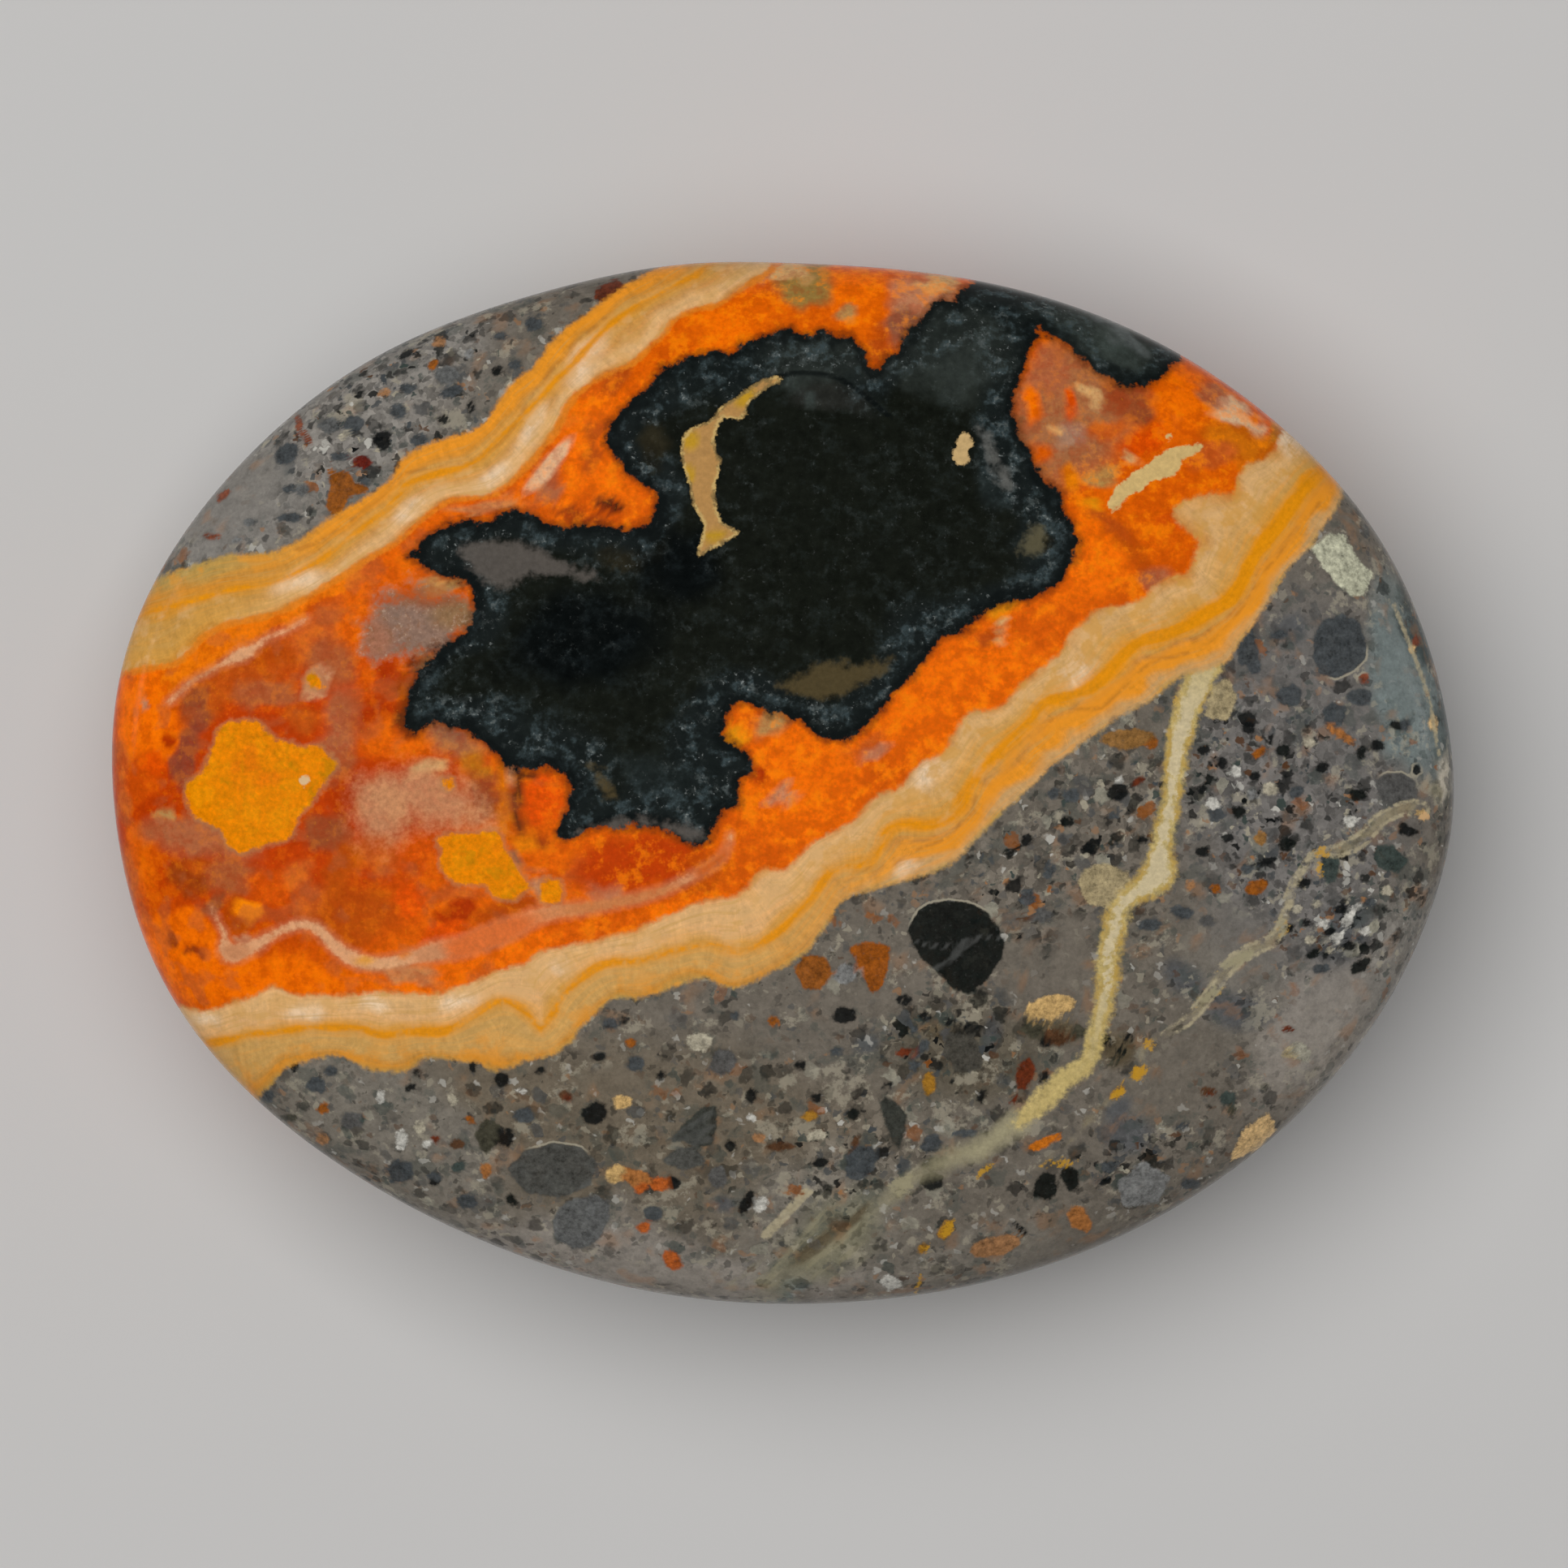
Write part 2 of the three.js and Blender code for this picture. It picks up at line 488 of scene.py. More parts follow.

# Broken pieces in the mud: place, length, width, turn, colour. Each is cut to a random angular shape.
# The two small cream ones on the right edge, at 32, 3 and 31, 6.6, are painted highlight.
CHIPS = (
    (1.5, -9.3, 1.7, 1.7, 0, "rust"), (3, -9.4, 1.1, 1, 0, "ashen"), (3, -11.4, 1.3, 0.8, 0, "black"),
    (6, -10.7, 0.9, 0.5, -25, "black"), (7, -11.5, 0.8, 0.5, -15, "black"), (9, -12, 1.2, 0.3, 0, "black"),
    (8.2, -11.8, 0.6, 0.4, -20, "black"), (6.4, -12.2, 0.6, 0.4, 0, "slate"), (6, -13.2, 1, 0.4, 0, "red"),
    (6.4, -13.9, 0.6, 0.6, 0, "slate"), (6.9, -13, 0.8, 0.5, 60, "slate"),
    (7.1, -14.8, 0.6, 1.2, 0, "gold"), (8.9, -13.2, 2.2, 1.8, -50, "brown grey"),
    (8.2, -14.7, 0.35, 0.4, 0, "black"), (9.8, -15.4, 0.4, 0.8, -20, "black"),
    (11.9, -14.3, 0.8, 1.6, -12, "red"), (12.8, -14.5, 0.5, 0.7, -20, "black"),
    (11.3, -15.7, 0.4, 0.35, 0, "red"), (4.9, -18.2, 0.65, 0.65, 0, "black"),
    (3.4, -16.3, 0.7, 0.6, 0, "green black"), (3.5, -17.7, 0.9, 0.3, 55, "brown"),
    (7.3, -17.8, 1.2, 0.9, 20, "slate"), (7.4, -18.7, 1.4, 0.5, 12, "green black"),
    (7.3, -19.6, 1.1, 0.9, 0, "black"), (9, -17.3, 1.3, 0.35, 0, "slate"),
    (10, -17.3, 0.5, 0.3, -15, "black"), (3.8, -18.7, 1.7, 1.4, 60, "slate"),
    (1.8, -18.7, 0.8, 0.4, 0, "black"), (-1.75, -20.6, 0.55, 1.3, -25, "black"),
    (-1.1, -20.75, 0.7, 0.9, -25, "white"), (-4.8, -18.5, 2.1, 1.1, 6, "soft grey"),
    (-7.3, -19.5, 1.6, 0.9, -20, "dull rust"), (-6.1, -19.8, 1, 0.7, 0, "red rust"),
    (-8.3, -19.3, 1.1, 0.8, 30, "cream"), (-7, -20, 0.7, 0.5, 30, "red rust"),
    (-3.2, -19.4, 0.9, 1.1, 0, "grey"), (-5.4, -19.7, 0.6, 0.6, 0, "black"),
    (-6.5, -21.2, 0.9, 0.7, 0, "slate"), (-9.3, -16.3, 1.3, 1.05, 10, "black"),
    (-8, -15.7, 0.9, 0.7, 0, "cream"), (-10.6, -15.5, 0.6, 0.5, 0, "red"),
    (-1.6, -15.4, 0.5, 0.8, -20, "black"), (1.6, -15.5, 0.6, 0.5, 0, "black"),
    (-2.6, -17.9, 0.6, 0.6, 0, "black"), (1.3, -16.4, 0.9, 0.5, 0, "gold"),
    (-1.2, -17.5, 0.6, 0.5, 0, "rusty"), (-0.5, -11.7, 0.6, 0.5, 0, "rust"),
    (-7.5, -12.8, 0.6, 0.5, 0, "rust"), (-5.5, -23.5, 1.1, 0.8, -50, "red rust"),
    (-6.9, -21.9, 0.7, 0.5, 0, "red rust"), (10.4, -22.8, 2.5, 0.9, 12, "rusty"),
    (-0.2, -17.9, 1.4, 0.4, 0, "brown"), (-4.2, -12.8, 1.2, 0.9, 0, "pale"),
    (1.6, -17.4, 0.9, 0.6, 0, "pale"), (-3, -13.8, 1.4, 1.3, 0, "grey"),
    (-7.3, -13.8, 0.8, 0.8, 0, "slate"), (-9.1, -13.5, 0.8, 0.35, 0, "black"),
    (-6, -14.4, 0.6, 0.5, 0, "black"), (-7.8, -11.7, 0.5, 0.4, 0, "black"),
    (-8.5, -11.9, 0.8, 0.6, 0, "slate"), (-2.4, -11.5, 0.5, 0.5, 0, "slate"),
    (5.3, -24.6, 1, 0.8, 0, "white"), (-1.6, -16.5, 0.5, 0.4, 0, "white"),
    (6.9, -22.9, 0.6, 0.5, 40, "gold"), (8, -22, 0.6, 1.1, -35, "gold"),
    (17.5, -14.2, 0.8, 0.4, 45, "gold"), (16.5, -15.2, 0.9, 0.4, 45, "gold"),
    (12.8, -17.7, 2, 0.45, 25, "orange"), (14.6, -21.5, 1.5, 0.9, -50, "dull rust"),
    (11.7, -22, 1, 0.3, -38, "black"), (17.7, -19.8, 2.6, 2, 30, "ashen"),
    (15.9, -19.6, 0.7, 0.35, 20, "black"), (16.1, -18.9, 0.9, 0.6, 0, "slate"),
    (20, -19.7, 0.9, 0.6, 0, "slate"), (19.6, -16.9, 0.9, 0.35, 10, "slate"),
    (21.9, -15.5, 0.9, 0.7, 0, "teal"), (20.9, -15.2, 0.8, 0.4, 0, "brown"),
    (24.9, -12.2, 0.6, 0.4, 0, "red"), (25.5, -13.3, 1.1, 0.8, -35, "tuff"),
    (23.2, -17.4, 3, 1.1, 42, "rim cream"), (17, 2.2, 2.7, 1, 0, "tan"), (18.1, 2, 0.6, 0.8, 0, "rust"),
    (17.5, 0.15, 0.9, 0.35, 25, "red"), (16.4, -0.4, 1, 0.9, 0, "black"),
    (13.3, -0.5, 0.7, 0.6, 0, "slate"), (14.2, -0.6, 0.8, 0.6, 0, "slate"),
    (15, -3.2, 0.7, 0.6, 0, "black"), (17.7, -2.8, 0.6, 0.5, 0, "black"),
    (13.1, -4.3, 0.6, 0.9, 0, "slate"), (12, -2.8, 0.7, 0.6, 0, "black"), (12, -5.6, 1, 0.8, 0, "slate"),
    (12.8, -6.5, 1, 0.9, 0, "grey"), (11.6, -7.5, 0.5, 0.4, 0, "black"), (11.8, -6.6, 0.6, 0.5, 0, "brown"),
    (18, -7, 1.2, 0.6, 0, "slate"), (19.6, -6.4, 1.2, 0.6, -15, "slate"), (20.9, -6.8, 0.8, 0.6, 0, "grey"),
    (22.9, 2.7, 0.6, 0.6, 0, "black"), (23.2, 0.3, 0.6, 0.5, 0, "black"), (21.6, 0.9, 0.6, 0.6, 0, "black"),
    (21.9, -2.7, 0.6, 0.5, 0, "black"), (23.4, 1.5, 0.9, 0.35, 30, "rust"),
    (27.5, 2.4, 1.7, 0.4, -32, "dull rust"), (23.5, -2.7, 0.6, 0.8, 0, "tan"),
    (23.3, -5.1, 1.1, 0.8, 20, "rust"), (21.3, -5.2, 0.6, 0.5, 0, "rust"), (20, -5.1, 0.5, 0.5, 0, "rusty"),
    (23.8, -3.8, 1.1, 0.35, 15, "black"), (24.8, -3, 0.8, 0.7, 0, "green black"),
    (26.9, -4.2, 0.9, 1.4, 0, "teal"), (29.9, -3.8, 1.7, 1.2, -20, "teal"),
    (30.8, -2.4, 0.9, 0.45, 0, "black"), (22.9, 6.5, 1, 1.6, -20, "slate"),
    (24.4, 7.3, 0.9, 0.4, 10, "slate"), (24.9, 4.3, 1.3, 1.1, 0, "slate"),
    (28.4, 4.3, 1.3, 0.8, 0, "slate"), (27.2, 3.4, 1.3, 1.1, 0, "slate"), (22.2, 0.5, 0.7, 0.6, 0, "white"),
    (21.2, -1, 0.7, 0.6, 0, "white"), (24, -0.3, 0.8, 0.6, 0, "pale"), (-18.4, -15, 0.8, 0.35, 10, "black"),
    (-19.9, -15.4, 0.4, 0.7, 0, "white"), (-18.9, -17.6, 0.5, 1, 0, "white"),
    (-18, -17, 0.6, 0.6, 0, "pale"), (-17.6, -17.8, 0.5, 0.35, 0, "white"),
    (-16.3, -15.6, 0.5, 0.5, 0, "pale"), (-12.9, -15.2, 0.5, 0.35, 0, "white"),
    (-20.1, -13.95, 0.4, 0.4, 0, "black"), (-16, -18.9, 0.7, 0.4, 20, "teal"),
    (-13.4, -20.5, 0.4, 0.8, 20, "green black"), (-15.6, -20.6, 1, 0.7, 0, "slate"),
    (-17.2, -19.6, 0.5, 0.6, 0, "black"), (-14.7, -19.1, 0.5, 0.8, 0, "dull rust"),
    (-21.1, -16.6, 0.9, 0.5, 0, "teal"), (-24.4, -16.5, 0.9, 0.3, 0, "olive"),
    (-12, -14.2, 0.5, 0.4, 0, "black"), (-15.3, -13.95, 0.4, 0.6, 0, "black"),
    (-18.1, -14.2, 0.4, 0.4, 0, "black"), (-10.7, -15.4, 0.7, 0.5, 0, "brown"),
    (-13.6, -17.5, 0.6, 1, -10, "black"), (-17.2, -17.6, 0.5, 0.4, 0, "red"),
    (-16.1, -17.8, 0.7, 0.5, 0, "brown"), (-21.3, -16.6, 1.1, 0.9, 0, "grey"),
    (-18.9, -19.2, 1.3, 1.2, 0, "slate"), (-14.6, -17.4, 1.2, 1.7, -10, "olive"),
    (-14, -17.4, 0.6, 0.9, 0, "black"), (-22.7, -16, 0.6, 0.5, 0, "rust"),
    (-22.7, -17.5, 0.6, 0.5, 0, "rusty"), (-15.5, -16.6, 0.5, 0.4, 0, "rust"),
    (-12.8, -16.4, 1.2, 0.7, 20, "slate"), (-13.9, -14.6, 0.9, 0.7, 0, "black"),
    (-24.1, -13.9, 0.4, 0.7, 0, "black"), (-22.3, -14.2, 0.7, 0.5, 0, "slate"),
    (-23, -14.9, 1, 0.8, 0, "slate"), (-25.4, -15.4, 0.7, 0.5, 0, "slate"),
    (-17.2, -19.5, 0.7, 0.6, 0, "slate"), (-24.5, 16.2, 1.2, 0.9, 30, "slate"),
    (-22.4, 17.6, 1, 0.9, 0, "blue grey"), (-21.2, 17.7, 1, 0.9, 0, "slate"),
    (-21.9, 16.1, 0.8, 0.5, 0, "slate"), (-24.4, 14.5, 0.6, 0.5, 0, "slate"),
    (-23.7, 14.4, 0.7, 0.6, 0, "blue grey"), (-24.3, 13.1, 1.2, 0.5, 0, "slate"),
    (-26.2, 12.9, 0.8, 0.4, 0, "blue grey"), (-19, 18.3, 0.8, 0.8, 0, "slate"),
    (-19.8, 16.9, 1, 0.9, 0, "black"), (-18, 16.9, 0.8, 0.7, 0, "slate"),
    (-16.8, 17.9, 0.6, 0.6, 0, "black"), (-16.4, 19.3, 1.2, 0.5, 20, "slate"),
    (-16.6, 20.1, 1.2, 0.8, 0, "blue grey"), (-18.6, 21.1, 0.8, 0.35, 30, "black"),
    (-13.9, 22, 0.8, 0.4, 0, "slate"), (-14.1, 20.3, 0.6, 0.5, 0, "black"),
    (-13.2, 20.6, 0.6, 0.5, 0, "slate"), (-15.4, 18.5, 0.4, 0.7, 0, "black"),
    (-18.5, 19.4, 0.9, 0.5, 0, "slate"), (-12.3, 22.6, 0.9, 0.8, 0, "slate"),
    (-20.8, 15.84, 0.8, 0.75, 0, "dark red"), (-23.9, 17.7, 0.36, 1.1, 8, "brick"),
    (-23.5, 17, 0.36, 0.9, 30, "brick"), (-28.2, 12.2, 0.9, 0.3, 0, "brick"),
    (-27.6, 14.2, 0.8, 0.35, 40, "brick"), (-21.9, 14, 0.5, 0.4, 0, "gold"),
    (-19.7, 19.2, 0.6, 0.5, 0, "rusty"), (-17, 21.7, 0.7, 0.5, 0, "rusty"),
    (-17.3, 20.6, 0.5, 0.5, 0, "rust"), (-8.6, 24.2, 1.6, 0.9, 25, "red"),
    (-21.7, 17.1, 0.4, 0.5, 0, "pale"), (-15.5, 21.2, 0.4, 0.5, 0, "ashen"),
    (-13.4, 19.6, 0.5, 0.4, 0, "pale"), (-26.9, 12, 0.5, 0.4, 0, "ashen"),
    (26.6, -6.9, 0.6, 0.5, 0, "white"), (27.3, -7.6, 0.7, 0.5, 20, "white"),
    (27.8, -6.8, 0.6, 0.6, 0, "white"), (28.2, -6.2, 0.6, 0.4, 40, "white"),
    (27, -8.2, 0.5, 0.4, 0, "pale"), (26, -7.7, 0.6, 0.4, 0, "pale"), (25.3, -6.2, 0.5, 0.4, 0, "pale"),
    (28.7, -7.3, 0.5, 0.4, 0, "white"), (26.3, -5.9, 0.5, 0.4, 0, "pale"),
    (26.9, -7.3, 0.7, 0.4, 10, "black"), (27.9, -8, 0.8, 0.5, -20, "black"),
    (26.1, -8.4, 0.8, 0.4, 30, "green black"), (28.5, -9, 1.1, 0.6, 30, "green black"),
    (25.8, -6.9, 0.6, 0.4, 0, "black"), (27.4, -6.2, 0.7, 0.4, 20, "black"),
    (28.9, -5.9, 0.7, 0.5, 0, "slate"), (24.9, -7.1, 0.6, 0.4, 0, "black"),
    (26.5, -9.2, 0.9, 0.5, 10, "slate"), (12.3, -12.1, 1.2, 0.8, -14, "olive"),
    (13.5, -12.5, 1.5, 0.8, -12, "brown"), (14.5, -12.2, 0.9, 0.7, -10, "olive"),
    (12.9, -12.7, 0.7, 0.5, -10, "black"), (13.9, -12, 0.8, 0.5, -12, "speckled"),
    (15.9, -12.6, 0.6, 0.5, -30, "green black"), (16.6, -13.2, 0.7, 0.35, -20, "green black"),
    (17, -12.5, 0.5, 0.3, 0, "black"), (16.3, -13.8, 0.6, 0.3, 0, "olive"), (15, -5.2, 0.6, 0.5, 0, "gold"),
    (14.9, -4.6, 0.4, 0.4, 0, "tan"), (16.5, 0.2, 0.4, 0.4, 0, "white"),
    (24.9, -13.4, 0.7, 0.5, 0, "tan tuff"), (31.2, 0.7, 0.4, 0.6, 0, "black"),
    (30.2, 2.9, 0.7, 0.4, -30, "black"), (28.5, 1.5, 0.45, 0.7, 0, "green black"),
    # The cream piece at 32, 3 here and the one at 31, 6.6 below are painted highlight on the rounded right
    # edge
    (30.7, -2.3, 0.9, 0.35, -40, "black"), (32, 3, 0.4, 0.8, 6, "rim cream"),
    (31, 6.6, 0.3, 0.4, 0, "rim cream"), (31.2, 7, 0.35, 0.5, 0, "brick"),
    (28.6, 5.2, 0.6, 0.45, 0, "brick"), (21, -15.3, 0.6, 0.3, 0, "red"),
    (31.4, -1.5, 0.6, 0.4, 10, "cream"), (22.1, -16.1, 0.5, 0.4, 0, "olive"),
    (5.1, -14.9, 0.5, 0.4, 0, "black"), (2.6, -13.2, 0.7, 0.5, 0, "slate"),
    (0.8, -13.9, 0.6, 0.5, 0, "black"), (14, -1.9, 0.7, 0.6, 0, "green black"),
    (16.2, -1.6, 0.6, 0.5, 0, "slate"), (11.2, -3.5, 0.7, 0.5, 30, "green black"),
    (9.6, -4.5, 0.6, 0.4, 0, "slate"), (20.7, 1.6, 0.6, 0.5, 0, "black"),
    (20.6, -0.3, 0.6, 0.5, 0, "black"), (22.4, -1.4, 0.7, 0.6, 0, "green black"),
    (24.6, 1.6, 0.7, 0.6, 0, "green black"), (25.3, -0.4, 0.8, 0.5, 20, "slate"),
    (26.6, 0.8, 0.7, 0.6, 0, "black"), (28.3, -0.6, 0.8, 0.6, 0, "green black"),
    (22.8, -4.2, 0.7, 0.5, 0, "slate"), (20.6, -3.4, 0.6, 0.5, 0, "black"),
    (25.6, -4.9, 0.7, 0.5, 0, "black"), (27.9, -1.9, 0.6, 0.5, 0, "white"),
    (23.1, -0.6, 0.6, 0.5, 0, "ashen"), (25.9, 2, 0.6, 0.5, 0, "pale"), (29.3, 1.9, 0.7, 0.5, 0, "black"),
    (30.6, 2.9, 0.6, 0.5, 0, "slate"), (29.8, -5.3, 0.6, 0.5, 0, "pale"),
)
# The larger ones, with their outlines
BLOCKS = (
    ("orange rust", (
        (3.1, -8), (4, -7.85), (5.2, -8), (5.15, -8.6), (5.1, -9.2), (4.8, -10.1), (4.3, -10.4),
        (3.95, -9.7), (3.6, -8.9),
    )),
    ("green black", (
        (6.1, -7.2), (6.6, -6.3), (7.3, -5.9), (8.2, -5.75), (9.2, -5.9), (10, -6.3), (10.6, -7),
        (10.9, -7.8), (10.8, -8.6), (9.9, -9.8), (9.2, -10.4), (8.4, -10.1), (7.6, -9.3), (6.8, -8.6),
        (6.3, -7.8),
    )),
    ("dark grey", (
        (4.7, -15.3), (5.5, -15.7), (6, -16.4), (6, -17.2), (5.7, -18), (5.4, -17.8), (5, -16.8),
        (4.8, -15.9),
    )),
    ("dark grey", (
        (-5.8, -17.7), (-4.8, -16.7), (-3.9, -15.9), (-3.3, -15.9), (-3.3, -16.8), (-3.5, -17.8),
        (-4.2, -18), (-5, -17.6),
    )),
    ("rust", (
        (-22.6, 15.6), (-22, 15.3), (-21.5, 15.5), (-21.2, 14.9), (-20.4, 14.6), (-20.6, 14.3),
        (-21.4, 14.2), (-21.7, 13.6), (-22.1, 12.9), (-22.5, 13.6), (-22.3, 14.6),
    )),
    ("soft grey", (
        (-13.6, -19), (-12.8, -18.1), (-11.4, -17.7), (-10, -17.9), (-9.2, -18.7), (-9.6, -19.8),
        (-11, -20.4), (-12.8, -20.1),
    )),
    ("blue grey", (
        (-11.4, -21.5), (-10.8, -20.6), (-9.6, -20.3), (-8.6, -20.6), (-8.6, -21.6), (-9.2, -22.6),
        (-10.2, -23), (-11.2, -22.5),
    )),
    ("cream", (
        (11.8, -11.2), (12.1, -10.9), (12.8, -10.6), (13.4, -10.35), (14.1, -10.5), (14.4, -10.8),
        (14.2, -11.2), (13.6, -11.3), (13.2, -11.7), (12.8, -11.5), (12.1, -11.5),
    )),
    ("green black", (
        (12.3, -20.4), (12.4, -19.6), (12.9, -19.2), (13.3, -19.3), (13.5, -20), (13.1, -20.6),
    )),
    ("green black", (
        (13.6, -19.2), (14, -18.9), (14.5, -19.1), (14.5, -20.1), (14.1, -20.1), (13.8, -19.7),
    )),
    ("slate", (
        (26.1, 7.2), (26.6, 8.1), (27.5, 8.3), (28.4, 7.9), (28.7, 7), (28.7, 6.2), (28.1, 5.6),
        (27.2, 5.2), (26.4, 5.4), (26.1, 6.2),
    )),
    ("bright tuff", (
        (26, 11.6), (26.9, 12.4), (27.6, 12.2), (28.4, 11), (29, 10.3), (28.6, 9.2), (27.9, 9.2),
        (27.2, 9.9), (26.5, 10.8),
    )),
    ("tan tuff", ((20.8, 3.3), (21.2, 4.9), (22, 5.2), (22.4, 4.2), (21.9, 3.1))),
    ("tan tuff", (
        (14.5, -5), (14.8, -4.2), (15.8, -3.9), (17, -4.4), (17.2, -5.4), (16.2, -6.2), (15, -5.9),
    )),
    ("grey", ((29.1, 0), (29.7, 0.5), (30.5, 0.5), (31.1, 0.1), (31.2, -0.7), (30.4, -1.1), (29.5, -0.9))),
    ("slate", ((22.2, 7.2), (22.6, 7.9), (23.1, 7.8), (23.4, 6.6), (23.5, 5.4), (23.1, 5.3), (22.7, 6.1))),
)
# Where a pale line of growth runs round them, as places, lengths, widths and turns
HALOS = (
    (7.8, -5.9, 5.2, 2, 6), (-11, -17.6, 3.6, 1.3, 0), (28, 5.6, 2.9, 1.2, 40), (30.2, 0.7, 2.6, 1, -8),
    (25.9, 12.2, 2.4, 1.2, 45),
)


def smooth(points, closed=False):
    """The points with two more in each gap, on a smooth line"""
    points = np.asarray(points, float)
    if closed:
        return through(points, np.arange(3 * len(points)) / (3 * len(points)))
    ends = np.vstack([points, points[-1:], points[:1]])
    inner = through(ends, np.arange(3 * (len(points) - 1)) / (3 * len(ends)))
    return np.vstack([inner, points[-1:]])


def nearest(line, where, closed=False):
    """Millimetres from each place to the line, and how far along the line its nearest point lies"""
    starts = np.asarray(line, float)
    ends = np.roll(starts, -1, axis=0)
    if not closed:
        starts, ends = starts[:-1], ends[:-1]
    best = np.full(len(where), np.inf)
    best_along = np.zeros(len(where))
    passed = 0.0
    for start, end in zip(starts, ends):
        step = end - start
        length = math.hypot(*step)
        if length == 0:
            continue
        share = np.clip((where - start) @ step / length**2, 0, 1)
        gap = where - start - share[:, None] * step
        squared = gap[:, 0] ** 2 + gap[:, 1] ** 2
        nearer = squared < best
        best[nearer] = squared[nearer]
        best_along[nearer] = passed + share[nearer] * length
        passed += length
    return np.sqrt(best), best_along


def within(outline, where):
    """Whether each place is inside the closed outline"""
    inside = np.zeros(len(where), bool)
    outline = np.asarray(outline, float)
    for (x0, y0), (x1, y1) in zip(outline, np.roll(outline, -1, axis=0)):
        if y0 == y1:
            continue
        crosses = (where[:, 1] > y0) != (where[:, 1] > y1)
        inside ^= crosses & (where[:, 0] < x0 + (where[:, 1] - y0) * (x1 - x0) / (y1 - y0))
    return inside


def depth_in(outline, where, smoothed=True):
    """Millimetres inside the closed outline, or less than nothing outside it"""
    outline = smooth(outline, closed=True) if smoothed else np.asarray(outline, float)
    distance, _ = nearest(outline, where, closed=True)
    return np.where(within(outline, where), distance, -distance)


CHIP_SEED = 11
CHIP_SIDES = (5, 6, 7)
CORNER_SLACK = 0.25
CHIP_GROWTH = 1.12
CHIP_MARGIN = 0.9
MARKS_END = 1.6
NO_CHIP = -2.0
CHIP_FADE = 0.5
draw = random.Random(CHIP_SEED)
rock_places = drawn + crinkle * 0.15
chip_depth = np.full(len(places), NO_CHIP)
chip_paint = rock_paint.copy()
outlines = [(name, np.array(points, float)) for name, points in BLOCKS]
for x, y, length, breadth, turn, name in CHIPS:
    sides = draw.choice(CHIP_SIDES)
    start = draw.random()
    turns_of_corners = [
        (k + start + draw.uniform(-CORNER_SLACK, CORNER_SLACK)) / sides * math.tau for k in range(sides)
    ]
    oval = np.array([(length / 2 * math.cos(t), breadth / 2 * math.sin(t)) for t in turns_of_corners])
    oval *= CHIP_GROWTH
    cos, sin = math.cos(math.radians(turn)), math.sin(math.radians(turn))
    outlines.append((name, oval @ np.array([[cos, sin], [-sin, cos]]) + (x, y)))
# The chips, and the pale strips in the black, stop a little way down the side
shallow = below < MARKS_END
for name, points in outlines:
    middle = points.mean(axis=0)
    span = np.hypot(*(points - middle).T).max() + CHIP_MARGIN
    near = np.flatnonzero((np.hypot(*(rock_places - middle).T) < span) & shallow)
    if not len(near):
        continue
    depth = depth_in(points, rock_places[near], smoothed=False)
    nearer = depth > chip_depth[near]
    chip_depth[near[nearer]] = depth[nearer]
    chip_paint[near[nearer]] = light_of(ROCK[name])
keep("chip", chip_depth - CHIP_FADE * below)
keep("chip_paint", chip_paint)
keep("halo", ovals(HALOS, drawn, 0.8, 1.3))

# Fine healed cracks in the larger pieces
CRACKS = (
    ((6.4, -7.8), (7.2, -8.0), (8.3, -8.0), (9.1, -7.75), (10.1, -7.55), (10.8, -7.65)),
    ((7.4, -9.2), (8.2, -8.8), (8.7, -8.2), (9.3, -7.8)),
    ((-5.6, -17.6), (-3.5, -16.2)),
    ((-5.2, -17.8), (-3.5, -16.9)),
    ((-4.8, -17.9), (-3.6, -17.5)),
    ((-11.8, -21.2), (-10.9, -20.9), (-10.2, -20.5), (-9.9, -19.9), (-9.2, -19.5), (-8.7, -19.5)),
)
CRACK_HALF_WIDTH = 0.24
crack_gap = np.min([nearest(line, drawn)[0] for line in CRACKS], axis=0)
keep("crack", CRACK_HALF_WIDTH - crack_gap)

# Where the grains lie close together
CROWDS = (
    (25, -2, 9, 13, 10), (28.5, -7, 6, 6, -40), (-20, 18, 14, 6, 35), (12, -5.5, 8, 6, 30),
    (3, -18, 10, 5, 0), (16, -1.5, 6, 7, 0), (22, 1, 7, 9, 0), (17, -18.5, 8, 3, 20), (8, -12.5, 8, 4, 0),
)
keep("crowd", ovals(CROWDS, drawn + crinkle * 3, 0.5, 1.2))

# Places shifted to and fro a little, so that no edge in the rock is straight
MIDDLE_OF_NOISE = (0.5, 0.5, 0.5)
wobble = vector_maths("SUBTRACT", cloudy(0.34, 1.0, 0.6, output="Color"), MIDDLE_OF_NOISE)
bent = moved(spot, scaled(wobble, 0.5))


def colour_of(name, colours):
    """A named colour as the finish takes it, with nothing seen through it"""
    return (*light_of(colours[name]), 1.0)


def laid(under, over, share):
    """One colour laid over another"""
    return Wire.node("ShaderNodeMix", {"data_type": "RGBA"}, {0: share, 6: under, 7: over}, 2)


def brightened(colour, factor):
    """A colour made lighter or darker"""
    return scaled(colour, factor)


